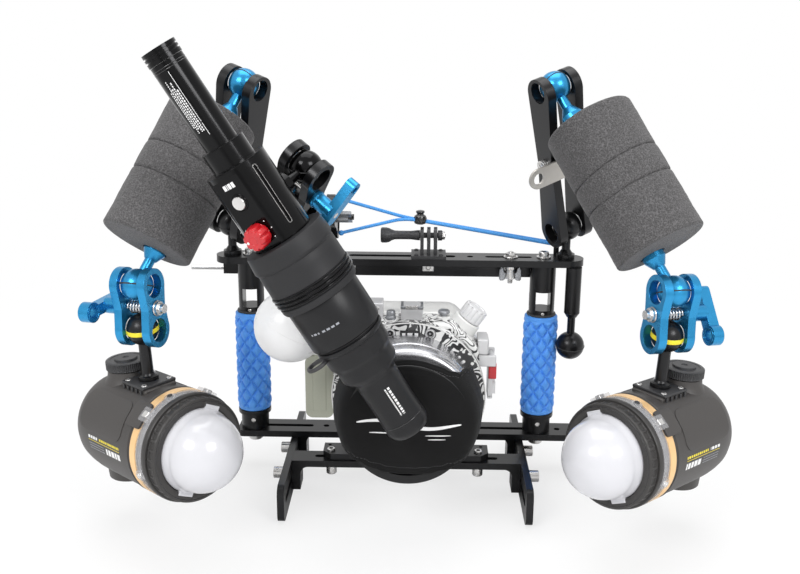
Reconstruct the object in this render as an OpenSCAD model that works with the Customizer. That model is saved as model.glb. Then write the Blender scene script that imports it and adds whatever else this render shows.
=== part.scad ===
// Underwater camera rig: slotted tray and two handles under a top plate,
// a small housed camera with a covered port, a snooted macro flash on a
// chain of ball clamps, and two dome strobes on clamps and float arms.
// Millimetres. X to the viewer's right, Y away from the port, Z up.

/* [Base] */
// Length of each slotted leg, front to back
leg_length = 173.5; // [165:0.5:190]
// Height of the legs
leg_height = 33; // [30:1:36]
// Thickness of the aluminium flat stock
stock = 6; // [5:0.5:7]
// Distance between the two legs' inner faces
leg_gap = 203; // [200:1:206]

/* [Handles] */
// Distance of each handle from the middle
handle_x = 132; // [130:1:134]
// Outer diameter of the rubber grips
grip_d = 30; // [29:0.5:31]
// Height of the top plate's underside
plate_z = 199.2; // [198:0.1:205]

/* [Ball system] */
// Ball diameter, the common one inch ball
ball_d = 25.4; // [25:0.1:25.6]
// Centre to centre length of the two long clamps
long_span = 133; // [125:1:140]
// Centre to centre length of the blue clamps
blue_span = 36; // [34:1:40]

/* [Float arms] */
// Outer diameter of the foam floats
float_d = 74; // [66:1:78]
// Length of the foam floats
float_length = 118; // [100:1:122]
// How far the foam sits off the arm, towards the front
float_shift = 12.5; // [9:0.5:13]

/* [Strobes] */
// Diameter of the strobe's body
strobe_d = 85; // [80:1:88]
// Length from the diffuser ring's front to the back
strobe_length = 126; // [120:1:130]
// How far the strobes turn inward from straight ahead
strobe_yaw = 47.5; // [40:0.5:50]

/* [Housing and port] */
// Width of the camera housing
housing_w = 132; // [126:1:136]
// Height of the camera housing
housing_h = 122; // [116:1:126]
// Height of the port's axis above the floor
port_z = 105; // [104:0.5:106]

/* [Flash] */
// Length of the flash and snoot together
flash_length = 331; // [325:1:335]
// Diameter of the flash body
flash_d = 46; // [42:1:48]

/* [Hidden] */
$fn = 64;

// Middle of everything, moved to the origin when the part is drawn
centre_x = 8.8;
centre_y = -80.07;

// Smallest gap between bodies that move on each other
clear = 0.3;
// Running fit of a shaft in its hole, on the radius
fit = 0.08;
ball_r = ball_d / 2;

// Base, all measured from the handles' middle
leg_mid_x = 11;
leg_left = leg_mid_x - leg_gap / 2;
leg_right = leg_mid_x + leg_gap / 2;
leg_front = -118.5;
leg_slot = 6.5;
lug = 7.5;
lug_bottom = 5;
bar_z = leg_height;
bar_w = 28;
bar_left = -147;
bar_right = 170;
tray_front = -64;
tray_w = 21;
tray_top = leg_height;
tray_y = tray_front + tray_w / 2;
deck_z = bar_z + stock;
bolt_r = 2.5;
bolt_head_r = 5.5;
bolt_head_h = 3.2;

// Top plate
plate_left = -162;
plate_right = 167.5;
plate_top = plate_z + stock;
plate_slot_w = 7;
clamp_bolt_x = 102.5;
rear_bar_y = 12.5;
rear_bar_w = 13.5;
rear_bar_h = 16;

// Ball mounts
ball_mid = 1.9;
ball_out = 149.5;
ball_z = plate_top + 29.2;
flash_ball_x = -68;
stem_r = 3.8;
post = [144.5, 12];
hang = [158.2, -10, 0];

// Side arms, as places on the right-hand side from the ball mid line
long_lean = [-21.9, -40, 125.3];
long_top = [ball_out, 0, ball_z] + long_span * unit(long_lean);
arm_foot_y = -132;
arm_foot_z = 212.5;
long_normal = [-0.845, -0.449, -0.291];
blue_normal = [-0.94, -0.342, 0];
drop_lean = 3.4;
blue_neck = 41.5;

// Port and housing
port_x = 12.7;
housing_x = 14;
housing_left = housing_x - housing_w / 2;
side_top = 134;
housing_front_y = -75;
housing_back_y = -5;
housing_split = -42;
housing_z = deck_z + 4;
port_tube_r = 44;
boss_x = [-3.2, 30.1];
boss_z = 160;
latch_z = 131;
latch_out = 3.5;
latch_pin = 1.5;
shutter = [housing_x + 28, -56];

// Flash axis, from the battery cap down to the snoot's tip
flash_top = [-157.7, -190, 395.3];
flash_dir = [0.5227, 0.0483, -0.8511];
flash_face = [0, -1, 0];
body_start = 92.5;
body_end = 153.5;
button_at = body_start + 22.9;
knob_at = body_end - 12.1;

// Ball chain that carries the flash
chain_1 = [flash_ball_x, -33, ball_z + 18.6];
chain_3 = [-65, -138, 307];
chain_2 = [-76.7, -118.4, 276.6];
chain_normal = [0.744, -0.393, -0.541];

function reach(s) = s < 0 ? 200.6 : 214.4;
function unit(v) = v / norm(v);
function arm_foot(s) = [reach(s), arm_foot_y, arm_foot_z];

// Basic shapes

// Carries children to point o, their Z along z and their X close to x
module frame_at(o, z, x) {
    ez = unit(z);
    ey = unit(cross(ez, x));
    ex = cross(ey, ez);
    multmatrix([
        [ex[0], ey[0], ez[0], o[0]],
        [ex[1], ey[1], ez[1], o[1]],
        [ex[2], ey[2], ez[2], o[2]],
        [0, 0, 0, 1]
    ]) children();
}

// Right-hand things as drawn, left-hand things mirrored
module on_side(s) {
    translate([ball_mid, 0, 0])
        mirror([s < 0 ? 1 : 0, 0, 0])
            children();
}

// Flat outline with round corners, from x0 to x1 and y0 to y1
module slab2d(x0, x1, y0, y1, r) {
    translate([x0 + r, y0]) square([x1 - x0 - 2 * r, y1 - y0]);
    translate([x0, y0 + r]) square([x1 - x0, y1 - y0 - 2 * r]);
    for (x = [x0 + r, x1 - r], y = [y0 + r, y1 - r])
        translate([x, y]) circle(r);
}

// Slot with round ends along X
module slot2d(x0, x1, y, w) {
    slab2d(x0, x1, y - w / 2, y + w / 2, w / 2 - 0.01);
}

// Cylinder along X from x0 to x1
module rod_x(x0, x1, r) {
    translate([x0, 0, 0]) rotate([0, 90, 0]) cylinder(r = r, h = x1 - x0);
}

// Cylinder along Y from y0 to y1
module rod_y(y0, y1, r) {
    translate([0, y1, 0]) rotate([90, 0, 0]) cylinder(r = r, h = y1 - y0);
}

// Box from one corner to the other
module box(a, b) {
    translate(a) cube(b - a);
}

// Plates in the Y-Z plane, extruded along X from x0 to x1
module plate_x(x0, x1) {
    translate([x0, 0, 0])
        rotate([90, 0, 90])
            linear_extrude(x1 - x0) children();
}

// Straight line of a given radius between two points
module strand(a, b, r) {
    frame_at(a, b - a, [0.1, 1, 0.2]) cylinder(r = r, h = norm(b - a), $fn = 24);
}

// Outline of one clamp plate: two round ends and a waist
// The outline's upper end may sit lower than the upper ball
module clamp_outline(span, end_r, waist, low = 0) {
    top = span - low;
    for (z = [0, top]) translate([0, z]) circle(end_r);
    polygon([
        [-end_r, 0], [end_r, 0], [waist, span / 2], [end_r, top],
        [-end_r, top], [-waist, span / 2]
    ]);
}

// Two clamp plates on balls at the origin and at span along Z, the rim of
// each hole resting on its ball
module clamp_plates(span, end_r, waist, inner, thick, low = 0) {
    hole = sqrt(pow(ball_r + clear, 2) - pow(inner, 2)) + 0.05;
    for (x = [inner, -inner - thick])
        difference() {
            plate_x(x, x + thick) clamp_outline(span, end_r, waist, low);
            for (z = [0, span])
                translate([0, 0, z]) rod_x(x - 1, x + thick + 1, hole);
            translate([0, 0, span / 2]) rod_x(x - 1, x + thick + 1, bolt_r + 0.3);
        }
}

// Frame

module base_bar() {
    color([0.07, 0.07, 0.08]) {
        difference() {
            translate([0, 0, bar_z])
                linear_extrude(stock)
                    difference() {
                        slab2d(bar_left, bar_right, -bar_w / 2, bar_w / 2, 6);
                        for (s = [-1, 1]) {
                            slot2d(s * 107.5 - 30.5, s * 107.5 + 30.5, 0, 5.4);
                            translate([s * 65, 0]) circle(2.75);
                        }
                        translate([151.8, 0]) circle(2.75);
                    }
        }
        for (x = [leg_left, leg_right - lug])
            drop_lug(x, -10, 10, bar_z, x == leg_left ? 1 : -1);
    }
}

// Lug that hangs down inside a leg, with a fillet on its inner side
module drop_lug(x, y0, y1, top, inward) {
    fillet = 7;
    corner = inward > 0 ? x + lug : x;
    difference() {
        union() {
            box([x, y0, lug_bottom], [x + lug, y1, top]);
            translate([corner - (inward > 0 ? 0 : fillet), y0, top - fillet])
                cube([fillet, y1 - y0, fillet]);
        }
        translate([corner + inward * fillet, 0, top - fillet])
            rod_y(y0 - 1, y1 + 1, fillet);
        translate([0, (y0 + y1) / 2, leg_height / 2])
            rod_x(x - 1, x + lug + 1, bolt_r);
    }
}

module front_tray() {
    bottom = tray_top - stock;
    color([0.07, 0.07, 0.08]) {
        translate([0, 0, bottom])
            linear_extrude(stock)
                difference() {
                    translate([leg_left, tray_front]) square([leg_gap, tray_w]);
                    slot2d(leg_left + 20, leg_right - 20, tray_y, 5.2);
                }
        for (x = [leg_left, leg_right - lug])
            drop_lug(x, tray_front, tray_front + tray_w, bottom,
                     x == leg_left ? 1 : -1);
    }
}

module legs() {
    mid = leg_height / 2;
    color([0.08, 0.08, 0.09])
        for (x = [leg_left - stock, leg_right])
            plate_x(x, x + stock)
                difference() {
                    slab2d(leg_front, leg_front + leg_length, 0, leg_height, 8);
                    slot2d(leg_front + 11, leg_front + leg_length - 11, mid,
                           leg_slot);
                }
}

// Bolt from outside a leg, its head at the leg's outer face
module leg_bolt(y, s) {
    face = s < 0 ? leg_left - stock : leg_right + stock;
    translate([face, y, leg_height / 2])
        mirror([s < 0 ? 1 : 0, 0, 0]) {
            rod_x(-stock - lug, 0, bolt_r);
            rod_x(0, bolt_head_h, bolt_head_r);
        }
}

module frame_bolts() {
    color([0.75, 0.75, 0.77]) {
        for (s = [-1, 1], y = [0, tray_y]) leg_bolt(y, s);
        for (x = [-56, 75]) {
            translate([x, tray_y, tray_top - stock - 5]) cylinder(r = 4, h = 5);
            translate([x, tray_y, tray_top - stock])
                cylinder(r = 2.2, h = 2 * stock);
            translate([x, tray_y, deck_z]) cylinder(r = 3.6, h = 2);
        }
        for (s = [-1, 1]) translate([s * handle_x, 0, 0]) {
            translate([0, 0, bar_z - 4]) cylinder(r = 6, h = 4);
            translate([0, 0, bar_z]) cylinder(r = 2.5, h = stock);
            translate([0, 0, plate_z]) cylinder(r = 2.5, h = stock);
            translate([0, 0, plate_top]) cylinder(r = 5, h = 5.5);
        }
        translate([clamp_bolt_x, 0, 0]) {
            translate([0, 0, plate_top]) cylinder(r = 5, h = 4);
            translate([0, 0, plate_z - 18]) cylinder(r = 2.5, h = 18 + stock);
        }
        box([23.5, -3, plate_z - 6], [33.5, 7, plate_z]);
        translate([-190, rear_bar_y + rear_bar_w / 2, 187]) rod_x(0, 31, 2);
    }
}

module housing_plate() {
    x0 = -63;
    x1 = 84;
    y0 = -62;
    y1 = -38;
    chamfer = 7;
    color([0.07, 0.07, 0.08])
        translate([0, 0, tray_top])
            linear_extrude(stock)
                difference() {
                    polygon([
                        [x0 + chamfer, y0], [x1 - chamfer, y0],
                        [x1, y0 + chamfer], [x1, y1], [x0, y1],
                        [x0, y0 + chamfer]
                    ]);
                    for (x = [-56, 75]) translate([x, tray_y]) circle(2.2);
                    for (x = [-58, 78]) translate([x, -42.5]) circle(1.6);
                }
}

module handles() {
    core_r = 8;
    base_h = 15;
    ring_z = deck_z + base_h;
    head_z = 152;
    color([0.06, 0.06, 0.07])
        for (s = [-1, 1]) translate([s * handle_x, 0, 0]) {
            difference() {
                translate([0, 0, deck_z]) cylinder(r = 12.7, h = base_h);
                translate([0, 0, deck_z + 9.5]) {
                    rod_y(-20, -9.2, 2.2);
                    rod_y(9.2, 20, 2.2);
                    rod_x(-20, -9.2, 2.2);
                    rod_x(9.2, 20, 2.2);
                }
            }
            translate([0, 0, ring_z]) cylinder(r = 15, h = 4);
            translate([0, 0, ring_z + 4]) cylinder(r = core_r, h = head_z - ring_z - 4);
            difference() {
                translate([0, 0, head_z]) cylinder(r = 11.5, h = plate_z - head_z);
                box([-6.5, -13, head_z + 6], [6.5, 13, head_z + 23]);
                box([-20, -1.2, head_z + 8], [-10, 1.2, head_z + 21]);
                box([10, -1.2, head_z + 8], [20, 1.2, head_z + 21]);
            }
        }
}

module grips() {
    color([0.15, 0.4, 0.85])
        for (s = [-1, 1]) translate([s * handle_x, 0, deck_z + 19])
            rotate_extrude()
                polygon([
                    [8, 0], [grip_d / 2 - 2, 0], [grip_d / 2, 3],
                    [grip_d / 2, 91], [grip_d / 2 - 2, 94], [8, 94]
                ]);
}

module top_plate() {
    color([0.07, 0.07, 0.08])
        translate([0, 0, plate_z])
            linear_extrude(stock)
                difference() {
                    slab2d(plate_left, plate_right, -14, 14, 13.99);
                    slot2d(-42.8, 53, 0, plate_slot_w);
                    for (s = [-1, 1]) {
                        translate([s * 66, 0]) circle(2.75);
                        slot2d(s * 100.5 - 21, s * 100.5 + 21, 0, 5.4);
                        translate([s * handle_x, 0]) circle(2.5);
                    }
                }
}

module rear_bar() {
    color([0.06, 0.06, 0.07])
        difference() {
            box([-159, rear_bar_y, plate_z - rear_bar_h],
                [131, rear_bar_y + rear_bar_w, plate_z]);
            for (x = [-110, -40, 30, 100])
                translate([x, 0, plate_z - rear_bar_h / 2]) rod_y(0, 40, 2.5);
        }
}

// Ball on a stem and a flange that sits on the plate
module ball_post() {
    translate([0, 0, plate_top]) {
        cylinder(r = 8, h = 4);
        translate([0, 0, 4]) cylinder(r1 = 6.5, r2 = stem_r, h = 4);
        cylinder(r = stem_r, h = ball_z - plate_top);
    }
    translate([0, 0, ball_z]) sphere(r = ball_r);
}

module ball_mounts() {
    color([0.08, 0.08, 0.09]) {
        for (s = [-1, 1]) translate([ball_mid + s * ball_out, 0, 0]) ball_post();
        translate([flash_ball_x, 0, 0]) ball_post();
        translate([post[0], post[1], plate_top]) cylinder(r = 2.5, h = 18);
        translate(hang) {
            translate([0, 0, 153]) cylinder(r1 = 4.5, r2 = 7, h = 4);
            translate([0, 0, 157]) cylinder(r = 7, h = plate_z - 157);
            translate([0, 0, 126]) {
                cylinder(r = 3.5, h = 28);
                sphere(r = ball_r);
            }
        }
    }
}

// Mount for a small action camera: three prongs on a foot
module action_mount() {
    x = 28.7;
    axis_z = 224.3;
    color([0.05, 0.05, 0.06])
        difference() {
            union() {
                box([x - 15.5, -13, plate_top], [x + 15.5, 13, plate_top + 3]);
                for (k = [-1, 0, 1]) {
                    plate_x(x + k * 6 - 1.5, x + k * 6 + 1.5)
                        union() {
                            translate([-7.5, plate_top + 2]) square([15, 17.5]);
                            translate([0, axis_z]) circle(7.5);
                        }
                }
            }
            translate([0, 0, axis_z]) rod_x(x - 20, x + 20, bolt_r + fit);
        }
}

module action_screw() {
    color([0.06, 0.06, 0.07])
        translate([28.7, 0, 224.3]) {
            rod_x(-34, 10.5, bolt_r);
            difference() {
                rod_x(-43, -34, 7);
                for (a = [0:40:320])
                    rotate([a, 0, 0]) translate([0, 0, 7.6]) rod_x(-44, -33, 1.5);
            }
            rod_x(-34, -7.9, 4);
            rod_x(8, 15, 4.6);
        }
}

module wing_nut() {
    color([0.1, 0.1, 0.11])
        translate([clamp_bolt_x, 0, plate_z - 14])
            difference() {
                union() {
                    cylinder(r = 5, h = 13.5);
                    for (s = [-1, 1])
                        translate([s * 6.5 - 3.5, -1.5, -2]) cube([7, 3, 13]);
                }
                translate([0, 0, -3]) cylinder(r = bolt_r + fit, h = 20);
            }
}

// Blue line: two strands tied at the flash clamp, gathered at the toggle
gather = [13, 0, 239.2];
tie_up = [-49.1, -27, 262];
tie_low = [-49.1, -6, 227];
line_r = 1.5;
line_apart = 1.75;
line_end = [post[0], post[1], 215];
line_run = unit(line_end - gather);
line_stretch = 30;
module blue_line() {
    loop_r = 4;
    color([0.2, 0.5, 0.85]) {
        for (k = [-1, 1]) {
            near = gather + [0, k * line_apart, 0];
            tie = k > 0 ? tie_up : tie_low;
            far = near + line_stretch * line_run;
            strand(tie, near, line_r);
            strand(near, far, line_r);
            strand(far, line_end + [0, k * loop_r, 0], line_r);
            translate(near) sphere(r = line_r, $fn = 24);
            translate(far) sphere(r = line_r, $fn = 24);
            translate(tie) sphere(r = 2.6, $fn = 24);
        }
        translate(line_end)
            rotate_extrude() translate([loop_r, 0]) circle(line_r, $fn = 24);
    }
}

module cord_toggle() {
    hole_r = line_r + 0.6;
    color([0.04, 0.04, 0.05])
        difference() {
            translate(gather + 8 * line_run - [0, 0, 3.4]) {
                cylinder(r = 6, h = 9);
                translate([0, 0, 9]) cylinder(r = 4.2, h = 3.5);
            }
            frame_at(gather, line_run, [0, 1, 0]) {
                for (k = [-1, 1])
                    translate([k * line_apart, 0, 0]) cylinder(r = hole_r, h = 20);
                translate([-line_apart, -hole_r, 0])
                    cube([2 * line_apart, 2 * hole_r, 20]);
            }
        }
}

// Housing and port

// Housing outline seen from the front
module housing_outline(inset) {
    x0 = housing_x - housing_w / 2 + inset;
    x1 = housing_x + housing_w / 2 - inset;
    z0 = housing_z + inset;
    z1 = housing_z + housing_h - inset;
    slab2d(x0, x1, z0, z1, 14 - inset);
}

// Shell between two Y places, hollow from its open side
module housing_shell(y0, y1, wall_y) {
    wall = 4;
    difference() {
        translate([0, y1, 0]) rotate([90, 0, 0])
            linear_extrude(y1 - y0) housing_outline(0);
        translate([0, wall_y + (y1 - y0), 0]) rotate([90, 0, 0])
            linear_extrude(y1 - y0) housing_outline(wall);
    }
}

// Axis of the tilted control knob, Z outwards
module on_knob() {
    translate([housing_x + housing_w / 2 - 22, -54, housing_z + housing_h - 9])
        rotate([0, 35, 0]) children();
}

// Ears and pin that the latch swings on
module latch_hinge() {
    side_x = housing_x + housing_w / 2;
    for (y = [-70, -48.7])
        box([side_x - 1, y, latch_z - 5], [side_x + 7, y + 2.7, latch_z + 5]);
    translate([side_x + latch_out, 0, latch_z]) rod_y(-69, -47, latch_pin);
}

module housing_front() {
    top = housing_z + housing_h;
    color([0.93, 0.93, 0.92]) {
        difference() {
            union() {
                housing_shell(housing_front_y, housing_split,
                              housing_front_y + 4);
                box([-28.9, -62, top - 1], [-9.8, -44, top + 15]);
                for (x = boss_x)
                    translate([x, 0, boss_z])
                        rod_y(housing_front_y - 3, housing_front_y + 1, 4.5);
                on_knob() cylinder(r = 12, h = 9);
            }
            translate([port_x, 0, port_z])
                rod_y(housing_front_y - 1, housing_front_y + 5, port_tube_r);
            on_knob() translate([0, 0, 9]) cylinder(r = 11.5, h = 30);
            on_knob() cylinder(r = 3 + fit, h = 10);
            translate([shutter[0], shutter[1], top - 6])
                cylinder(r = 2.5 + fit, h = 10);
        }
        latch_hinge();
        box([housing_x - 58, -73, deck_z], [housing_x + 56, -44, housing_z]);
    }
}

module housing_back() {
    depth = housing_back_y - housing_split;
    color([0.88, 0.88, 0.87])
        housing_shell(housing_split, housing_back_y, housing_back_y - 4 - depth);
}

module side_box() {
    color([0.5, 0.52, 0.45])
        difference() {
            translate([0, -32, 0]) rotate([90, 0, 0])
                linear_extrude(40)
                    slab2d(housing_left - 24, housing_left, 78, side_top, 6);
            box([housing_left - 18, -73, 84], [housing_left - 6, -69, 128]);
        }
}

module hot_shoe() {
    z = housing_z + housing_h;
    color([0.7, 0.7, 0.7]) {
        box([5.4, -63, z], [24, -45, z + 9]);
        box([7.5, -61, z + 9], [22, -47, z + 11.5]);
    }
}

module port_shroud() {
    color([0.9, 0.9, 0.9])
        translate([port_x, 0, port_z])
            difference() {
                rod_y(housing_front_y - 12, housing_front_y - 3.2, 65);
                rod_y(housing_front_y - 20, housing_front_y, 46);
                for (x = boss_x)
                    translate([x - port_x, 0, boss_z - port_z])
                        rod_y(-90, -70, 5);
            }
}

port_ring_y = housing_front_y - 12;
hood_front = -149;
module port_ring() {
    color([0.45, 0.46, 0.48])
        translate([port_x, 0, port_z])
            difference() {
                union() {
                    rod_y(port_ring_y - 13, port_ring_y, 55);
                    rod_y(port_ring_y, housing_front_y + 4, port_tube_r);
                }
                rod_y(port_ring_y - 14, housing_front_y + 5, 40);
            }
}

module port_hood() {
    back = port_ring_y - 13;
    color([0.05, 0.05, 0.06])
        translate([port_x, 0, port_z]) {
            difference() {
                union() {
                    rod_y(hood_front + 8, back, 48);
                    rod_y(hood_front, hood_front + 8, 50);
                }
                rod_y(hood_front - 1, back - 8, 43);
                rod_y(hood_front - 1, back + 1, 38);
            }
            rod_y(back - 8, back - 4, 38);
        }
}

// Soft cap over the hood: a thin shell with a crowned front, open below
module lens_cover() {
    wall = 3.5;
    outer = [
        [55.4, -92], [58.5, -92], [61, -100], [62, -109], [60.5, -122],
        [57.5, -136], [55, -144], [51, -149.8], [44, -152], [25, -153.3],
        [0, -153.6]
    ];
    inner = [
        [0, -150.2], [25, -149.9], [44, -149.3], [50.6, -149.1],
        [51, -141], [55.5, -128], [58.3, -109], [57.4, -101], [55.4, -97]
    ];
    color([0.06, 0.06, 0.07])
        intersection() {
            translate([port_x, 0, port_z])
                rotate([90, 0, 0])
                    rotate_extrude()
                        polygon([for (p = concat(outer, inner)) [p[0], -p[1]]]);
            box([-100, -170, 64], [120, -80, 200]);
        }
}

module latch() {
    side_x = housing_x + housing_w / 2;
    color([0.75, 0.1, 0.1])
        translate([side_x + latch_out, -58, latch_z])
            difference() {
                union() {
                    rod_y(-9, 9, 3);
                    box([-3, -7, -32], [1.5, 7, 0]);
                    box([1.5, -5, -32], [4, 5, -22]);
                }
                rod_y(-10, 10, latch_pin + fit);
            }
}

module control_knob() {
    color([0.93, 0.93, 0.93])
        on_knob() {
            translate([0, 0, 2]) cylinder(r = 3, h = 8);
            difference() {
                translate([0, 0, 9 + clear]) cylinder(r = 10.5, h = 13);
                for (a = [0:24:336])
                    rotate([0, 0, a]) translate([11.4, 0, 9])
                        cylinder(r = 1.6, h = 16);
            }
        }
}

module shutter_button() {
    color([0.15, 0.15, 0.16])
        translate([shutter[0], shutter[1], housing_z + housing_h]) {
            translate([0, 0, -6]) cylinder(r = 2.5, h = 11);
            translate([0, 0, 4]) cylinder(r = 5, h = 3);
        }
}

// White globe on a short peg from the side box
module dome_diffuser() {
    centre = [housing_left - 32.4, -96, 169];
    foot = [housing_left - 14, -62, side_top];
    color([0.95, 0.95, 0.95])
        difference() {
            union() {
                translate(centre) sphere(r = 30);
                strand(foot, centre, 5);
            }
            box([housing_left - 40, -80, side_top - 20],
                [housing_left, -40, side_top]);
        }
}

// Flash and its ball chain

module plate_clamp() {
    color([0.08, 0.08, 0.09])
        frame_at([flash_ball_x, 0, ball_z], chain_1 - [flash_ball_x, 0, ball_z],
                 [1, 0, 0]) {
            clamp_plates(norm(chain_1 - [flash_ball_x, 0, ball_z]), 13.6, 11,
                         9, 7);
            translate([0, 0, 19]) rod_x(-16, 31, bolt_r);
            translate([0, 0, 19]) rod_x(-20, -16, 5);
        }
}

module plate_wing() {
    color([0.5, 0.5, 0.52])
        frame_at([flash_ball_x, 0, ball_z], chain_1 - [flash_ball_x, 0, ball_z],
                 [1, 0, 0])
            translate([0, 0, 19])
                difference() {
                    union() {
                        rod_x(16 + clear, 26, 5);
                        for (s = [-1, 1])
                            box([19, -1.5, s > 0 ? 3 : -12],
                                [29, 1.5, s > 0 ? 12 : -3]);
                    }
                    rod_x(10, 40, bolt_r + fit);
                }
}

// Arm with a ball at each end, along Z
module double_ball(length, tube_r) {
    for (z = [0, length]) translate([0, 0, z]) sphere(r = ball_r);
    cylinder(r = 5, h = length);
    translate([0, 0, 20]) cylinder(r = tube_r, h = length - 40);
}

module flash_link() {
    color([0.08, 0.08, 0.09])
        frame_at(chain_1, chain_2 - chain_1, [1, 0, 0])
            double_ball(norm(chain_2 - chain_1), 7.5);
}

module flash_clamp() {
    span = norm(chain_3 - chain_2);
    color([0.08, 0.08, 0.09])
        frame_at(chain_2, chain_3 - chain_2, chain_normal) {
            clamp_plates(span, 13.6, 11, 9, 7);
            translate([0, 0, span / 2]) {
                rod_x(-16, 38, bolt_r);
                rod_x(-20, -16, 5);
            }
        }
}

// Blue T handle: a hub and a bar with an eye at its long end
module flash_lever() {
    span = norm(chain_3 - chain_2);
    color([0.1, 0.4, 0.75])
        frame_at(chain_2, chain_3 - chain_2, chain_normal)
            translate([0, 0, span / 2])
                rotate([-35, 0, 0])
                    difference() {
                        union() {
                            rod_x(16 + clear, 34, 6.5);
                            plate_x(30, 38)
                                slab2d(-5, 5, -10, 30, 4.9);
                        }
                        rod_x(10, 44, bolt_r + fit);
                        translate([0, 0, 24]) rod_x(20, 44, 2.5);
                    }
}

// Carries children to the flash's own axis, Z from the cap to the tip
module on_flash() {
    frame_at(flash_top, flash_dir, flash_face) children();
}

// Place of a control on the flash's face: angle round the axis, station
control_angle = 24;
face_x = 20;
head_r = 19.5;

module flash_body() {
    on_flash() color([0.05, 0.05, 0.06]) {
        difference() {
            rotate([0, 0, 100]) {
                translate([0, 0, 10]) cylinder(r = 12.5, h = 68);
                translate([0, 0, 76.5]) cylinder(r = 16.4, h = body_start - 76);
                translate([0, 0, body_start])
                    cylinder(r = flash_d / 2, h = body_end - body_start);
                translate([0, 0, body_end - 1]) cylinder(r = head_r, h = 15);
            }
            rotate([0, 0, control_angle])
                box([face_x, -30, body_start + 4], [40, 30, body_end]);
            rotate([0, 0, control_angle]) {
                translate([10, 0, button_at]) rod_x(0, 20, 5 + fit);
                translate([10, 0, knob_at]) rod_x(0, 20, 3 + fit);
            }
            rotate([0, 0, -40])
                box([flash_d / 2 - 1, -1, body_start + 5.5],
                    [flash_d / 2 + 1, 1, body_end - 8.5]);
        }
    }
    ball_stem();
}

// Ball foot on the back of the flash
module ball_stem() {
    station = (chain_3 - flash_top) * flash_dir;
    base = flash_top + station * flash_dir;
    away = unit(chain_3 - base);
    color([0.08, 0.08, 0.09]) {
        translate(chain_3) sphere(r = ball_r);
        strand(base + away * (flash_d / 2 - 0.5), chain_3, 4);
        strand(base + away * (flash_d / 2 - 1.5),
               base + away * (flash_d / 2 + 5), 10);
    }
}

module flash_cap() {
    color([0.05, 0.05, 0.06])
        on_flash()
            difference() {
                cylinder(r = 13, h = 9.7);
                for (z = [2.5, 5.5])
                    translate([0, 0, z])
                        difference() {
                            cylinder(r = 14, h = 1.2);
                            cylinder(r = 12, h = 1.2);
                        }
            }
}

module flash_button() {
    on_flash() color([0.75, 0.75, 0.77])
        rotate([0, 0, control_angle])
            translate([0, 0, button_at]) rod_x(13, 22, 5);
}

module flash_knob() {
    on_flash() color([0.8, 0.06, 0.08])
        rotate([0, 0, control_angle]) translate([0, 0, knob_at]) {
            rod_x(11, face_x + 1, 3);
            difference() {
                rod_x(face_x + clear, face_x + 11, 9);
                for (a = [0:45:315])
                    rotate([a, 0, 0]) translate([0, 0, 10]) rod_x(10, 40, 1.8);
            }
        }
}

sleeve_length = 50;
module snoot_sleeve() {
    on_flash() color([0.14, 0.14, 0.15])
        translate([0, 0, body_end + clear])
            rotate_extrude()
                polygon([
                    [head_r + clear, 0], [30.6, 0], [32, 13], [30.9, 15.5],
                    [31.2, 33], [32, 34.2], [32, 40], [31.4, 42],
                    [31.4, 46], [30, sleeve_length], [0, sleeve_length],
                    [0, 16], [head_r + clear, 16]
                ]);
}

module snoot_barrel() {
    start = body_end + clear + sleeve_length;
    tip = flash_length;
    on_flash() color([0.05, 0.05, 0.06])
        rotate_extrude()
            polygon([
                [0, start], [28.5, start], [28.5, 242], [25.5, 244],
                [25.5, 258], [23, 262], [23, 272], [17, 280],
                [17, tip - 4], [14, tip], [12.5, tip], [12.5, tip - 2],
                [0, tip - 2]
            ]);
}

// Side arms

module long_clamp(s) {
    inner = 9.5;
    thick = 8;
    eye = inner + 25;
    base = [ball_out, 0, ball_z];
    span = norm(long_top - base);
    on_side(s)
        frame_at(base, long_top - base, long_normal) {
            color([0.07, 0.07, 0.08])
                clamp_plates(span, 14, 9.5, inner, thick, 2.5);
            color([0.75, 0.75, 0.77]) translate([0, 0, span / 2]) {
                rod_x(-inner - thick, inner + thick, bolt_r);
                rod_x(inner + thick, inner + thick + 3.5, 6);
                rod_x(-inner - thick - 5, -inner - thick, 5);
            }
            color([0.6, 0.6, 0.58]) translate([0, 0, span / 2]) {
                difference() {
                    box([inner - 2, -6, -9], [inner, 13, 9]);
                    rod_x(0, 20, bolt_r + 0.3);
                }
                difference() {
                    union() {
                        box([inner - 2, 13, -9], [eye, 15, 9]);
                        translate([eye, 0, 0]) rod_y(13, 15, 9);
                    }
                    translate([eye, 0, 0]) rod_y(10, 20, 5);
                }
            }
        }
}

// Carries children to the top ball of an arm, Z down along the arm
module on_arm(s) {
    on_side(s)
        frame_at(long_top, arm_foot(s) - long_top, long_normal) children();
}

module float_arm(s) {
    length = norm(arm_foot(s) - long_top);
    fork = 9;
    on_arm(s) color([0.1, 0.4, 0.75]) {
        for (z = [0, length]) translate([0, 0, z]) sphere(r = ball_r);
        cylinder(r = 4.2, h = length);
        translate([0, 0, 32]) cylinder(r = 8, h = length - 64);
        for (low = [0, 1])
            translate([0, 0, low * length])
                mirror([0, 0, low])
                    translate([0, 0, 26])
                        difference() {
                            union() {
                                translate([0, 0, -4])
                                    cylinder(r1 = 5, r2 = fork, h = 7);
                                translate([0, 0, 3]) cylinder(r = fork, h = 7);
                            }
                            translate([0, 0, 14]) rod_y(-20, 20, 4);
                        }
    }
}

module float(s) {
    length = norm(arm_foot(s) - long_top);
    start = (length - float_length) / 2 + 5.5;
    on_arm(s) color([0.22, 0.22, 0.23])
        translate([0, 0, start])
            difference() {
                translate([-1.6, -float_shift, 0])
                    cylinder(r = float_d / 2, h = float_length);
                translate([0, 0, -1]) cylinder(r = 9.6, h = float_length + 2);
            }
}

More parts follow.
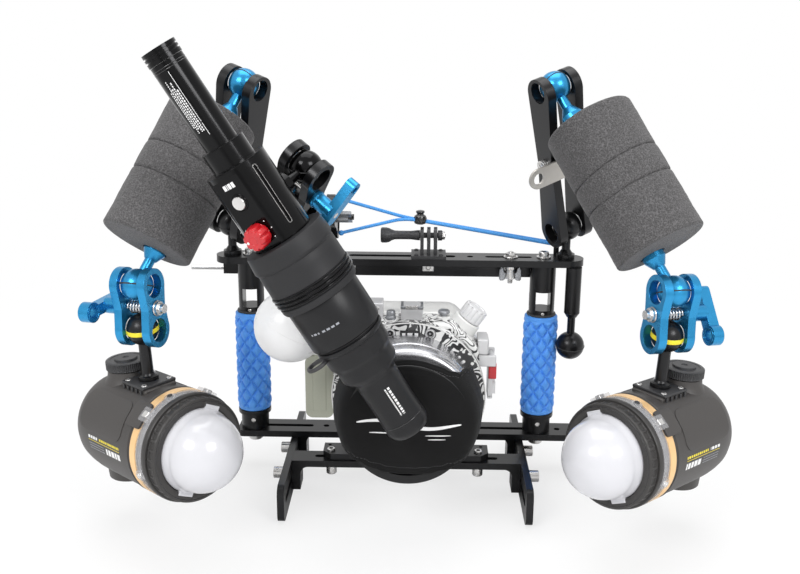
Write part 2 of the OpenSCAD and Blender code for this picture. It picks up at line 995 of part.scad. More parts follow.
// Carries children to the arm's lower ball, Z up, plates across X
module on_drop(s) {
    on_side(s)
        translate(arm_foot(s))
            rotate([0, drop_lean, 0])
                frame_at([0, 0, 0], [0, 0, 1], blue_normal) children();
}

module blue_clamp(s) {
    on_drop(s) translate([0, 0, -blue_span]) {
        color([0.1, 0.4, 0.75]) clamp_plates(blue_span, 13.6, 11, 9, 7);
        color([0.75, 0.75, 0.77]) translate([0, 0, blue_span / 2]) {
            rod_x(-38, 16, bolt_r);
            rod_x(16, 19, 5.5);
            rod_x(19, 23, 3.6);
        }
    }
}

// Wire coil round the bolt: rings of points along a helix about X
spring_turns = 5;
spring_steps = 8;
spring_wire = 0.6;
spring_r = 4.1;
spring_half = 8.4;
spring_count = spring_turns * spring_steps;

// Middle of the wire at ring i
function coil_at(i) =
    let (a = 360 * i / spring_steps)
    [2 * spring_half * i / spring_count - spring_half,
     spring_r * cos(a), spring_r * sin(a)];

// Least gap between rings that lie more than half a turn apart
spring_gap = min([
    for (i = [0:spring_count], j = [i + spring_steps / 2:spring_count])
        norm(coil_at(i) - coil_at(j)) - 2 * spring_wire
]);
echo(spring_gap = spring_gap);

module clamp_spring(s) {
    sides = 6;
    rings = [for (i = [0:spring_count])
        let (a = 360 * i / spring_steps, x = coil_at(i)[0])
        [for (k = [0:sides - 1])
            let (w = 360 * k / sides, r = spring_r + spring_wire * cos(w))
            [x + spring_wire * sin(w), r * cos(a), r * sin(a)]]];
    points = [for (ring = rings) for (p = ring) p];
    walls = [for (i = [0:spring_count - 1], k = [0:sides - 1])
        let (n = (k + 1) % sides, a = i * sides, b = a + sides)
        each [[a + k, a + n, b + n], [a + k, b + n, b + k]]];
    first = [for (k = [1:sides - 2]) [0, k + 1, k]];
    end = spring_count * sides;
    last = [for (k = [1:sides - 2]) [end, end + k, end + k + 1]];
    on_drop(s) color([0.7, 0.7, 0.72])
        translate([0, 0, -blue_span / 2])
            polyhedron(points = points, faces = concat(first, last, walls));
}

module clamp_lever(s) {
    on_drop(s) color([0.1, 0.4, 0.75])
        translate([0, 0, -blue_span / 2])
            rotate([s < 0 ? 88 : 38, 0, 0])
                difference() {
                    union() {
                        rod_x(-30, -16 - clear, 6.5);
                        plate_x(-38, -29) {
                            slab2d(-4.5, 4.5, -20, 22, 4.4);
                            translate([0, -19]) circle(8);
                        }
                    }
                    rod_x(-45, 0, bolt_r + fit);
                    translate([0, 0, -19]) rod_x(-40, -20, 4.3);
                    translate([0, 0, 17]) rod_x(-40, -20, 2);
                }
}

module strobe_stem(s) {
    on_drop(s) color([0.07, 0.07, 0.08])
        translate([0, 0, -blue_span]) {
            sphere(r = ball_r);
            translate([0, 0, -blue_neck]) {
                cylinder(r = 4.7, h = blue_neck);
                cylinder(r = 8, h = 3);
            }
        }
}

// Carries children to the strobe: X forward along its axis, Z up its stem
module on_strobe(s) {
    on_side(s)
        translate(arm_foot(s))
            rotate([0, drop_lean, 0])
                translate([0, 0, -blue_span - blue_neck - clear - strobe_d / 2 - 3])
                    rotate([0, 0, 180 + 90 - strobe_yaw])
                        children();
}

ring_front = 60;
strobe_back = ring_front - strobe_length;
strobe_r = strobe_d / 2;
module strobe_body(s) {
    on_strobe(s) {
        color([0.12, 0.12, 0.12]) {
            rotate([0, 90, 0])
                rotate_extrude()
                    polygon([
                        [0, strobe_back + 2], [26, strobe_back + 3],
                        [36, strobe_back + 8], [strobe_r - 2, strobe_back + 18],
                        [strobe_r, strobe_back + 30], [strobe_r, 31], [0, 31]
                    ]);
            box([-15, -15, strobe_r - 8], [15, 15, strobe_r + 3]);
            translate([-31, 0, 20]) cylinder(r = 15.5, h = strobe_r - 20 + 6);
            translate([-40, 0, -strobe_r - 3]) cylinder(r = 19, h = 24);
        }
        color([0.8, 0.6, 0.3]) rod_x(31, 38, strobe_r + 0.8);
    }
}

module strobe_dial(s) {
    on_strobe(s) color([0.1, 0.1, 0.1])
        translate([0, 0, 10]) rod_x(strobe_back - 6, strobe_back + 2 - clear, 7);
}

module battery_cap(s) {
    on_strobe(s) color([0.06, 0.06, 0.06])
        translate([-31, 0, strobe_r + 6 + clear]) {
            cylinder(r = 16.5, h = 10);
            translate([0, 0, 10]) cylinder(r = 9, h = 1.5);
        }
}

module diffuser(s) {
    dome_r = 31.5;
    skirt_r = 33.5;
    on_strobe(s) {
        color([0.08, 0.08, 0.08])
            difference() {
                union() {
                    rod_x(38, 52, strobe_r + 0.5);
                    rod_x(52, ring_front, strobe_r - 1.5);
                }
                rod_x(50, ring_front + 1, skirt_r);
            }
        color([0.95, 0.95, 0.95]) {
            rod_x(49, ring_front + 2, skirt_r);
            intersection() {
                translate([ring_front + 4, 0, 0]) sphere(r = dome_r);
                rod_x(ring_front, 200, 60);
            }
        }
    }
}

// Draws everything about the middle of the outline, on the floor
module rig() {
    translate([-centre_x, -centre_y, 0]) children();
}

rig() {
    base_bar();
    front_tray();
    legs();
    frame_bolts();
    housing_plate();
    handles();
    grips();
    top_plate();
    rear_bar();
    ball_mounts();
    action_mount();
    action_screw();
    wing_nut();
    blue_line();
    cord_toggle();
    housing_front();
    housing_back();
    side_box();
    hot_shoe();
    port_shroud();
    port_ring();
    port_hood();
    lens_cover();
    latch();
    control_knob();
    shutter_button();
    dome_diffuser();
    plate_clamp();
    plate_wing();
    flash_link();
    flash_clamp();
    flash_lever();
    flash_body();
    flash_cap();
    flash_button();
    flash_knob();
    snoot_sleeve();
    snoot_barrel();
    long_clamp(-1);  // long_clamp_left
    float_arm(-1);  // float_arm_left
    float(-1);  // float_left
    blue_clamp(-1);  // blue_clamp_left
    clamp_spring(-1);  // clamp_spring_left
    clamp_lever(-1);  // clamp_lever_left
    strobe_stem(-1);  // strobe_stem_left
    strobe_body(-1);  // strobe_body_left
    strobe_dial(-1);  // strobe_dial_left
    battery_cap(-1);  // battery_cap_left
    diffuser(-1);  // diffuser_left
    long_clamp(1);  // long_clamp_right
    float_arm(1);  // float_arm_right
    float(1);  // float_right
    blue_clamp(1);  // blue_clamp_right
    clamp_spring(1);  // clamp_spring_right
    clamp_lever(1);  // clamp_lever_right
    strobe_stem(1);  // strobe_stem_right
    strobe_body(1);  // strobe_body_right
    strobe_dial(1);  // strobe_dial_right
    battery_cap(1);  // battery_cap_right
    diffuser(1);  // diffuser_right
}
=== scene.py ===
import random
from math import atan2, cos, degrees, exp, hypot, pi, radians, sin, sqrt

import bmesh
import bpy
from mathutils import Matrix, Vector, noise


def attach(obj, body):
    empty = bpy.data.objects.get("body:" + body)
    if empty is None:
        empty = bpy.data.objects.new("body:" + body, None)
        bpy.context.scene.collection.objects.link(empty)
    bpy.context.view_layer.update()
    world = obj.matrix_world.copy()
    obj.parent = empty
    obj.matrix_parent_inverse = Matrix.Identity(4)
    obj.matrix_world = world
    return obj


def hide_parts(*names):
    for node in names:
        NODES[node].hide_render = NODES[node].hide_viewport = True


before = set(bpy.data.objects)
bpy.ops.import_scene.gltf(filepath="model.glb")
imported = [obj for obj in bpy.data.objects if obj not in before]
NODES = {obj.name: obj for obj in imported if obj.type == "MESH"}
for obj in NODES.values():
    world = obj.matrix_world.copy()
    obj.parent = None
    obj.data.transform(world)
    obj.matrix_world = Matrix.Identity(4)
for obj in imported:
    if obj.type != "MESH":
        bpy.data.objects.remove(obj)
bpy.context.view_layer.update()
SIDES = (("left", -1), ("right", 1))

# ---------------------------------------------------------------- places
# Rig millimetres, as the CAD source uses them, to row metres
CENTRE = Vector((8.8, -80.07, 0))


def polar(r, deg):
    return r * cos(radians(deg)), r * sin(radians(deg))


def unit(v):
    return Vector(v).normalized()


def turned(deg, a, b):
    """Two axes after a turn from the first towards the second."""
    c, s = cos(radians(deg)), sin(radians(deg))
    return a * c + b * s, b * c - a * s


class Place:
    """A local frame: origin and three axes in rig millimetres."""

    def __init__(self, o, x, y, z):
        self.o, self.x, self.y, self.z = Vector(o), Vector(x), Vector(y), Vector(z)

    def mm(self, p):
        return self.o + self.x * p[0] + self.y * p[1] + self.z * p[2]

    def at(self, p):
        return (self.mm(p) - CENTRE) / 1000

    def shift(self, p):
        return Place(self.mm(p), self.x, self.y, self.z)

    def up(self, z):
        return self.shift((0, 0, z))

    def turn_x(self, deg):
        y, z = turned(deg, self.y, self.z)
        return Place(self.o, self.x, y, z)

    def turn_y(self, deg):
        z, x = turned(deg, self.z, self.x)
        return Place(self.o, x, self.y, z)

    def turn_z(self, deg):
        x, y = turned(deg, self.x, self.y)
        return Place(self.o, x, y, self.z)

    def along_x(self):
        """The same place with its Z along the old X."""
        return Place(self.o, self.y, self.z, self.x)

    def along_y(self):
        """The same place with its Z along the old Y."""
        return Place(self.o, self.z, self.x, self.y)

    def flipped(self):
        """The same place with its Z turned round."""
        return Place(self.o, self.y, self.x, -self.z)


def place(o, z, x):
    ez = unit(z)
    ey = unit(ez.cross(Vector(x)))
    return Place(o, ey.cross(ez), ey, ez)


RIG = Place((0, 0, 0), (1, 0, 0), (0, 1, 0), (0, 0, 1))


def rig(x, y, z):
    return RIG.shift((x, y, z))


def upright(o):
    return Place(o, RIG.x, RIG.y, RIG.z)


def turn_about(axis, deg, v):
    return Matrix.Rotation(radians(deg), 3, axis) @ Vector(v)


MIDDLE = Vector((1.9, 0, 0))  # halfway between the two arm balls


def on_side(s, pl):
    """Right-hand place as drawn, left-hand place mirrored about the ball middle."""
    o, x, y, z = [Vector((s * v[0], v[1], v[2])) for v in (pl.o, pl.x, pl.y, pl.z)]
    return Place(o + MIDDLE, x, y, z)


BALL_Z = 234.4
BALL_BAND = 12.72  # rubber ring round a 25.4 mm ball
HANDLE_X = 132
WING_X = 102.5
ACTION_X = 28.7
TOP_FACE = 205.2  # upper face of the top plate
CASE_TOP = 165
BASE = Vector((149.5, 0, BALL_Z))
LONG_SPAN = 133
LONG_TOP = BASE + LONG_SPAN * unit((-21.9, -40, 125.3))
LONG_NORMAL = (-0.845, -0.449, -0.291)
BLUE_NORMAL = (-0.94, -0.342, 0)
LEAN = 3.4  # degrees that the hanging strobes lean
STROBE_TURN = 222.5
STEM_LENGTH = 123.3  # foot ball to the middle of the strobe


def foot(s):
    return Vector((200.6 if s < 0 else 214.4, -132, 212.5))


def long_place(s):
    return on_side(s, place(BASE, LONG_TOP - BASE, LONG_NORMAL))


def arm_place(s):
    return on_side(s, place(LONG_TOP, foot(s) - LONG_TOP, LONG_NORMAL))


def drop_place(s):
    pl = place((0, 0, 0), (0, 0, 1), BLUE_NORMAL)
    return on_side(s, Place(foot(s), *[turn_about("Y", LEAN, v) for v in (pl.x, pl.y, pl.z)]))


def strobe_place(s):
    x, y, z = [turn_about("Y", LEAN, turn_about("Z", STROBE_TURN, v)) for v in (RIG.x, RIG.y, RIG.z)]
    return on_side(s, Place(foot(s) - STEM_LENGTH * z, x, y, z))


FLASH_TOP = Vector((-157.7, -190, 395.3))
FLASH_DIR = unit((0.5227, 0.0483, -0.8511))
FLASH = place(FLASH_TOP, FLASH_DIR, (0, -1, 0))
FACE = FLASH.turn_z(24)
CHAIN_0 = Vector((-68, 0, BALL_Z))
CHAIN_1 = Vector((-68, -33, BALL_Z + 18.6))
CHAIN_2 = Vector((-76.7, -118.4, 276.6))
CHAIN_3 = Vector((-65, -138, 307))
CHAIN_NORMAL = (0.744, -0.393, -0.541)
PORT = Place((12.7, 0, 105), (1, 0, 0), (0, 0, 1), (0, -1, 0))

# ---------------------------------------------------------------- materials


def node(nt, kind):
    return nt.nodes.new("ShaderNode" + kind)


def ramp(nt, source, stops):
    r = node(nt, "ValToRGB")
    e = r.color_ramp.elements
    while len(e) < len(stops):
        e.new(0.5)
    for k, (pos, col) in enumerate(stops):
        e[k].position = pos
        e[k].color = (*col, 1)
    nt.links.new(source, r.inputs[0])
    return r.outputs[0]


def grains(nt, coord, scale, detail=4, rough=0.5, distort=0.0):
    n = node(nt, "TexNoise")
    n.inputs["Scale"].default_value = scale
    n.inputs["Detail"].default_value = detail
    n.inputs["Roughness"].default_value = rough
    n.inputs["Distortion"].default_value = distort
    nt.links.new(coord, n.inputs["Vector"])
    return n.outputs["Fac"]


def feed(nt, socket, value):
    """Links another node's output to the socket, or sets a constant on it."""
    if isinstance(value, bpy.types.NodeSocket):
        nt.links.new(value, socket)
    else:
        socket.default_value = value


def calc(nt, op, a, b=0.0, c=0.0):
    m = node(nt, "Math")
    m.operation = op
    for k, v in enumerate((a, b, c)):
        feed(nt, m.inputs[k], v)
    return m.outputs[0]


def blended(nt, factor, a, b, blend="MIX"):
    mix = node(nt, "Mix")
    mix.data_type = "RGBA"
    mix.blend_type = blend
    for k, v in ((0, factor), (6, a), (7, b)):
        feed(nt, mix.inputs[k], v)
    return mix.outputs[2]


def pattern(nt, kind, coord, scale):
    """A wave or Voronoi texture."""
    t = node(nt, "Tex" + kind)
    t.inputs["Scale"].default_value = scale
    nt.links.new(coord, t.inputs["Vector"])
    return t


def relief(nt, bump, height, strength, depth):
    nt.links.new(height, bump.inputs["Height"])
    bump.inputs["Strength"].default_value = strength
    bump.inputs["Distance"].default_value = depth


def scaled(col, k):
    return tuple(min(1.0, c * k) for c in col)


def material(name, col, rough=0.5, metal=0.0, vary=0.12, grain=900, bump=0.15, depth=0.00005, mottling=30,
             coat=0.0, edge=0.0004, alpha=1.0, sheen=0.0, spec=0.5):
    """Base material: mottled colour, grainy bump, uneven roughness, softened edges."""
    uneven = 0.08
    m = bpy.data.materials.new(name)
    m.use_nodes = True
    nt = m.node_tree
    b = nt.nodes["Principled BSDF"]
    co = node(nt, "TexCoord").outputs["Object"]
    big = grains(nt, co, mottling, 5, 0.6)
    fine = grains(nt, co, grain, 3, 0.6)
    both = calc(nt, "ADD", calc(nt, "MULTIPLY", big, 0.6), calc(nt, "MULTIPLY", fine, 0.4))
    colour = ramp(nt, both, [(0.3, scaled(col, 1 - vary)), (0.7, scaled(col, 1 + vary))])
    for socket, value in (("Base Color", colour), ("Metallic", metal),
                          ("Roughness", calc(nt, "MULTIPLY_ADD", big, 2 * uneven, rough - uneven)),
                          ("Coat Weight", coat), ("Coat Roughness", 0.12), ("Alpha", alpha), ("IOR", 1.5),
                          ("Specular IOR Level", spec), ("Transmission Weight", 0.0), ("Sheen Weight", sheen)):
        feed(nt, b.inputs[socket], value)
    bp = node(nt, "Bump")
    relief(nt, bp, fine, bump, depth)
    if edge:
        bev = node(nt, "Bevel")
        bev.samples = 4
        bev.inputs["Radius"].default_value = edge
        nt.links.new(bev.outputs[0], bp.inputs["Normal"])
    nt.links.new(bp.outputs[0], b.inputs["Normal"])
    m.diffuse_color = (*col, 1)
    return m


def parts(m):
    """A material's tree, shader, coordinates and bump."""
    nt = m.node_tree
    co = next(n for n in nt.nodes if n.type == "TEX_COORD").outputs["Object"]
    return nt, nt.nodes["Principled BSDF"], co, next(n for n in nt.nodes if n.type == "BUMP")


BLACK_ANO = material("black_anodised", (0.010, 0.010, 0.011), 0.3, 0.5, 0.25, 2500, 0.12)
GLOSS_ANO = material("gloss_anodised", (0.009, 0.009, 0.0095), 0.16, 0.85, 0.2, 2500, 0.05, 0.00004, coat=0.1,
                     spec=0.3)
BLUE_ANO = material("blue_anodised", (0.028, 0.265, 0.53), 0.28, 0.78, 0.14, 2500, 0.1)
STEEL = material("stainless", (0.62, 0.61, 0.6), 0.28, 0.95, 0.08, 1800, 0.08)
BRACKET = material("bracket_steel", (0.5, 0.48, 0.45), 0.42, 0.8, 0.1, 1500, 0.1)
GREY_METAL = material("grey_metal", (0.34, 0.35, 0.37), 0.35, 0.7, 0.1, 1800, 0.1)
PLASTIC = material("black_plastic", (0.026, 0.026, 0.028), 0.46, 0.0, 0.2, 1800, 0.35, 0.00008)
GLOSS_PLASTIC = material("gloss_black", (0.012, 0.012, 0.013), 0.24, 0.0, 0.2, 1500, 0.1, coat=0.3)
BODY = material("strobe_shell", (0.045, 0.041, 0.039), 0.5, 0.0, 0.12, 1500, 0.35, 0.00008, mottling=14)
RING_RUBBER = material("ring_plastic", (0.028, 0.026, 0.025), 0.45, 0.0, 0.15, 1500, 0.25, 0.00008)
RUBBER = material("black_rubber", (0.03, 0.03, 0.031), 0.62, 0.0, 0.15, 1300, 0.4, 0.0001)
SLEEVE = material("sleeve_rubber", (0.02, 0.02, 0.0215), 0.5, 0.0, 0.12, 1300, 0.35, 0.0001, mottling=18,
                  spec=0.25)
GRIP = material("blue_grip", (0.09, 0.34, 0.95), 0.52, 0.0, 0.14, 1200, 0.3, 0.0001, mottling=45, edge=0)
GOLD = material("gold_ring", (0.86, 0.56, 0.27), 0.38, 0.35, 0.08, 1800, 0.08)
DOME = material("dome_white", (0.62, 0.62, 0.65), 0.2, 0.0, 0.01, 400, 0.02, 0.00003, coat=0.25, edge=0)
GLOBE = material("globe_white", (0.88, 0.88, 0.885), 0.3, 0.0, 0.01, 400, 0.02, 0.00003, edge=0)
WHITE = material("housing_white", (0.78, 0.78, 0.765), 0.3, 0.0, 0.03, 900, 0.08, coat=0.2)
SIDE_GREY = material("side_grey", (0.36, 0.37, 0.3), 0.5, 0.0, 0.06, 900, 0.25, 0.0001)
RED = material("red_plastic", (0.5, 0.008, 0.014), 0.32, 0.0, 0.15, 900, 0.1, 0.00006, coat=0.25)
YELLOW = material("yellow_band", (0.82, 0.68, 0.02), 0.4, 0.0, 0.06, 900, 0.1)
WHITE_MARK = material("white_mark", (0.8, 0.8, 0.8), 0.5, 0.0, 0.03, 900, 0.05, 0.00003, edge=0)
YELLOW_MARK = material("yellow_mark", (0.8, 0.66, 0.03), 0.5, 0.0, 0.05, 900, 0.05, 0.00003, edge=0)
CLEAR = material("clear_collar", (0.62, 0.62, 0.64), 0.12, 0.0, 0.03, 900, 0.05, 0.00003, alpha=0.32, coat=0.5,
                 edge=0)
CORD = material("cord_blue", (0.06, 0.3, 0.72), 0.6, 0.0, 0.2, 900, 0.2, 0.0001, edge=0)
# Near-black lining for screw sockets, cross slots, a hole's rim and sunken screws: painted shade in recesses
RECESS_SHADE = material("screw_recess_shade", (0.03, 0.03, 0.032), 0.5, 0.3, 0.2, 1500, 0.1, edge=0)
BARREL = material("barrel_black", (0.012, 0.012, 0.013), 0.34, 0.0, 0.2, 2500, 0.15, spec=0.22)
KNOB = material("knob_grey", (0.72, 0.72, 0.73), 0.36, 0.0, 0.06, 900, 0.1, coat=0.2)
GREY_MARK = material("grey_mark", (0.3, 0.31, 0.34), 0.5, 0.0, 0.05, 900, 0.05, 0.00003, edge=0)
GLASS = material("front_glass", (0.02, 0.022, 0.026), 0.08, 0.0, 0.1, 900, 0.02, 0.00003, coat=0.6, edge=0)
PORT_METAL = material("port_metal", (0.6, 0.6, 0.62), 0.26, 0.92, 0.05, 1800, 0.06, 0.00004)
HOOD = material("hood_black", (0.006, 0.006, 0.0065), 0.45, 0.0, 0.2, 1500, 0.2, 0.00006, spec=0.3)
SILVER = material("silver_plastic", (0.62, 0.62, 0.63), 0.34, 0.2, 0.05, 1500, 0.08, coat=0.2)
THREAD = material("thread", (0.03, 0.03, 0.032), 0.6, 0.0, 0.2, 2500, 0.2, 0.0001, edge=0)


def foam_material():
    m = material("foam", (0.058, 0.057, 0.058), 0.9, 0.0, 0.2, 900, 0.5, 0.0003, mottling=22, edge=0, sheen=0.1)
    nt, b, co, bp = parts(m)
    pores = pattern(nt, "Voronoi", co, 900).outputs["Distance"]
    # pores darkest at their middles, where the bump sinks lowest: painted shade in the pores
    pore_shade = ramp(nt, pores, [(0.0, (0.022,) * 3), (0.32, (0.055,) * 3), (0.75, (0.105, 0.104, 0.106))])
    fibre = grains(nt, co, 620, 6, 0.7, 0.6)
    light = ramp(nt, fibre, [(0.36, (0.66, 0.645, 0.65)), (0.66, (1.3, 1.265, 1.28))])
    nt.links.new(blended(nt, 1, pore_shade, light, "MULTIPLY"), b.inputs["Base Color"])
    relief(nt, bp, calc(nt, "ADD", pores, fibre), 0.55, 0.0005)
    return m


def neoprene_material():
    m = material("neoprene", (0.007, 0.007, 0.0072), 0.8, 0.0, 0.2, 1400, 0.4, 0.0001, mottling=40, edge=0,
                 sheen=0.04, spec=0.12)
    nt, _, co, bp = parts(m)
    w = pattern(nt, "Wave", co, 900)
    w.bands_direction = "DIAGONAL"
    relief(nt, bp, calc(nt, "ADD", w.outputs["Fac"], grains(nt, co, 1600, 3)), 0.3, 0.0002)
    return m


def printed_white(name, scale, share, line, gap):
    """White shell with a generic print: wavy contour lines in one part, white blobs on black in the rest."""
    m = material(name, (0.8, 0.8, 0.79), 0.3, 0.0, 0.03, 900, 0.06, coat=0.2)
    nt, b, co, _ = parts(m)
    contours = calc(nt, "FRACT", calc(nt, "MULTIPLY", grains(nt, co, scale, 2, 0.4, 0.8), 13.0))
    off = calc(nt, "ABSOLUTE", calc(nt, "SUBTRACT", contours, 0.5))
    region = calc(nt, "GREATER_THAN", grains(nt, co, 34, 1, 0.3), share)
    lines = calc(nt, "MULTIPLY", calc(nt, "LESS_THAN", off, line), region)
    between = calc(nt, "GREATER_THAN", pattern(nt, "Voronoi", co, 260).outputs["Distance"], gap)
    dots = calc(nt, "MULTIPLY", between, calc(nt, "SUBTRACT", 1.0, region))
    ink = calc(nt, "MAXIMUM", lines, calc(nt, "MULTIPLY", dots, 0.95))
    shell = b.inputs["Base Color"].links[0].from_socket
    nt.links.new(blended(nt, ink, shell, (0.02, 0.02, 0.022, 1)), b.inputs["Base Color"])
    return m


def braid(m, scale):
    nt, _, co, bp = parts(m)
    w = pattern(nt, "Wave", co, scale)
    w.inputs["Distortion"].default_value = 0.4
    w.bands_direction = "X"
    relief(nt, bp, w.outputs["Fac"], 0.6, 0.0003)


FOAM = foam_material()
NEOPRENE = neoprene_material()
PRINTED = printed_white("printed_case", 38, 0.4, 0.15, 0.46)
PRINTED_DENSE = printed_white("printed_shroud", 40, 0.5, 0.24, 0.38)
braid(CORD, 180)

# ---------------------------------------------------------------- shapes


def finish_mesh(name, me, mat, body="rig", smooth=True, slot=None, replaces=(), bevel=0.0, angle=35):
    """Object from a mesh: joined points, sharp edges over angle, bevel in millimetres, and body. The slot
    argument is not used.
    """
    o = bpy.data.objects.new(name, me)
    bpy.context.scene.collection.objects.link(o)
    if not me.materials:
        me.materials.append(mat)
    bm = bmesh.new()
    bm.from_mesh(me)
    bmesh.ops.remove_doubles(bm, verts=bm.verts, dist=1e-7)
    bmesh.ops.recalc_face_normals(bm, faces=bm.faces)
    for f in bm.faces:
        f.smooth = smooth
    lim = radians(angle)
    for e in bm.edges:
        if len(e.link_faces) == 2 and e.calc_face_angle(0) > lim:
            e.smooth = False
    bm.to_mesh(me)
    bm.free()
    if bevel:
        mod = o.modifiers.new("edge", "BEVEL")
        mod.width = bevel / 1000
        mod.segments = 3
        mod.limit_method = "ANGLE"
        mod.angle_limit = radians(40)
        mod.harden_normals = False
        apply(o)
    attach(o, body)
    if replaces:
        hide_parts(*replaces)
    return o


def apply(o):
    dg = bpy.context.evaluated_depsgraph_get()
    me = bpy.data.meshes.new_from_object(o.evaluated_get(dg))
    old = o.data
    o.modifiers.clear()
    o.data = me
    bpy.data.meshes.remove(old)


def mesh(name, verts, faces, mat, body="rig", **k):
    me = bpy.data.meshes.new(name)
    me.from_pydata([tuple(v) for v in verts], [], faces)
    return finish_mesh(name, me, mat, body, **k)


def wrap_faces(cols, m, closed=True, ring_too=False):
    """Quads between neighbouring columns of m points each; ring_too closes the columns as well."""
    faces = []
    for i in range(cols if closed else cols - 1):
        j = (i + 1) % cols
        for q in range(m if ring_too else m - 1):
            w = (q + 1) % m
            faces.append((i * m + q, j * m + q, j * m + w, i * m + w))
    return faces


def lathe(name, pl, profile, mat, body="rig", seg=96, radial=None, **k):
    """Turns (r, z) points about the place's Z. radial(angle, r, z) may change the radius."""
    verts = []
    for i in range(seg):
        a = radians(360 * i / seg)
        for r, z in profile:
            rr = radial(degrees(a), r, z) if radial else r
            verts.append(pl.at((rr * cos(a), rr * sin(a), z)))
    return mesh(name, verts, wrap_faces(seg, len(profile)), mat, body, **k)


def ring(name, pl, r, tube, mat, body="rig", z=0.0, seg=72, side=16, **k):
    prof = [(r + tube * cos(2 * pi * q / side), z + tube * sin(2 * pi * q / side))
            for q in range(side + 1)]
    return lathe(name, pl, prof, mat, body, seg=seg, **k)


def block(name, pl, lo, hi, mat, body="rig", bevel=0.6, **k):
    v = [pl.at((x, y, z)) for x in (lo[0], hi[0]) for y in (lo[1], hi[1]) for z in (lo[2], hi[2])]
    f = [(0, 1, 3, 2), (4, 6, 7, 5), (0, 4, 5, 1), (2, 3, 7, 6), (0, 2, 6, 4), (1, 5, 7, 3)]
    return mesh(name, v, f, mat, body, bevel=bevel, **k)


def circle2(cx, cy, r, n=32, start=0):
    turn = [polar(r, start + 360 * i / n) for i in range(n)]
    return [(cx + x, cy + y) for x, y in turn]


def rounded(x0, x1, y0, y1, r, n=8):
    pts = []
    for cx, cy, a in ((x1 - r, y1 - r, 0), (x0 + r, y1 - r, 90), (x0 + r, y0 + r, 180), (x1 - r, y0 + r, 270)):
        for i in range(n + 1):
            x, y = polar(r, a + 90 * i / n)
            pts.append((cx + x, cy + y))
    return pts


def curve_mesh(name, cu, loops, closed, mat):
    """Mesh of a curve with one spline per loop of points in metres."""
    for loop in loops:
        sp = cu.splines.new("POLY")
        sp.points.add(len(loop) - 1)
        for p, c in zip(sp.points, loop):
            p.co = (*c, 1)
        sp.use_cyclic_u = closed
    o = bpy.data.objects.new(name, cu)
    bpy.context.scene.collection.objects.link(o)
    bpy.context.view_layer.update()
    me = bpy.data.meshes.new_from_object(o.evaluated_get(bpy.context.evaluated_depsgraph_get()))
    bpy.data.objects.remove(o)
    me.materials.clear()
    me.materials.append(mat)
    return me


def plate(name, pl, loops, z0, z1, mat, body="rig", edge=0.5, **k):
    """Flat shape with holes, from z0 to z1 along the place's Z, its edges rounded."""
    cu = bpy.data.curves.new(name, "CURVE")
    cu.dimensions = "2D"
    cu.fill_mode = "BOTH"
    cu.extrude = ((z1 - z0) / 2 - edge) / 1000
    cu.bevel_depth = edge / 1000
    cu.bevel_resolution = 2
    cu.offset = -edge / 1000
    me = curve_mesh(name, cu, [[(x / 1000, y / 1000, 0) for x, y in loop] for loop in loops], True, mat)
    mid = (z0 + z1) / 2
    for v in me.vertices:
        v.co = pl.at((v.co.x * 1000, v.co.y * 1000, v.co.z * 1000 + mid))
    return finish_mesh(name, me, mat, body, **k)


def tube(name, pts, r, mat, body="rig", seg=12, closed=False, **k):
    """Round tube through points that are already in row metres; r in millimetres."""
    cu = bpy.data.curves.new(name, "CURVE")
    cu.dimensions = "3D"
    cu.bevel_depth = r / 1000
    cu.bevel_resolution = seg // 4
    cu.use_fill_caps = True
    return finish_mesh(name, curve_mesh(name, cu, [pts], closed, mat), mat, body, **k)


def skin(piece, mat):
    o = NODES[piece]
    o.data.materials.clear()
    o.data.materials.append(mat)


def paint(piece, mat, pl, test):
    """Another material for the CAD piece's faces whose middle passes the test, in the place's millimetres."""
    me = NODES[piece].data
    me.materials.append(mat)
    k = len(me.materials) - 1
    for f in me.polygons:
        c = sum((me.vertices[v].co for v in f.vertices), Vector()) / len(f.vertices)
        r = c * 1000 + CENTRE - pl.o
        if test(r.dot(pl.x), r.dot(pl.y), r.dot(pl.z)):
            f.material_index = k


SKINS = (
    (BLACK_ANO, "base_bar front_tray legs housing_plate top_plate rear_bar handles ball_mounts plate_clamp "
                "flash_link flash_clamp wing_nut"),
    (PLASTIC, "action_mount action_screw shutter_button"), (HOOD, "port_hood"), (GRIP, "grips"),
    (STEEL, "frame_bolts flash_button"), (GLOSS_PLASTIC, "cord_toggle snoot_barrel"), (CORD, "blue_line"),
    (PRINTED, "housing_front"), (PRINTED_DENSE, "port_shroud"), (WHITE, "housing_back control_knob"),
    (SIDE_GREY, "side_box"), (SILVER, "hot_shoe"), (PORT_METAL, "port_ring"), (RED, "latch flash_knob"),
    (GLOBE, "dome_diffuser"), (GREY_METAL, "plate_wing"), (BLUE_ANO, "flash_lever"),
    (GLOSS_ANO, "flash_body flash_cap"), (SLEEVE, "snoot_sleeve"), (NEOPRENE, "lens_cover"))
SIDE_SKINS = (
    (BLACK_ANO, "long_clamp strobe_stem"), (BLUE_ANO, "float_arm blue_clamp clamp_lever"), (FOAM, "float"),
    (STEEL, "clamp_spring"), (BODY, "strobe_body"), (PLASTIC, "strobe_dial battery_cap"),
    (RING_RUBBER, "diffuser"))
for mat, names in SKINS:
    for piece in names.split():
        skin(piece, mat)
for mat, names in SIDE_SKINS:
    for piece in names.split():
        for t, _ in SIDES:
            skin(piece + "_" + t, mat)

# ---------------------------------------------------------------- grips


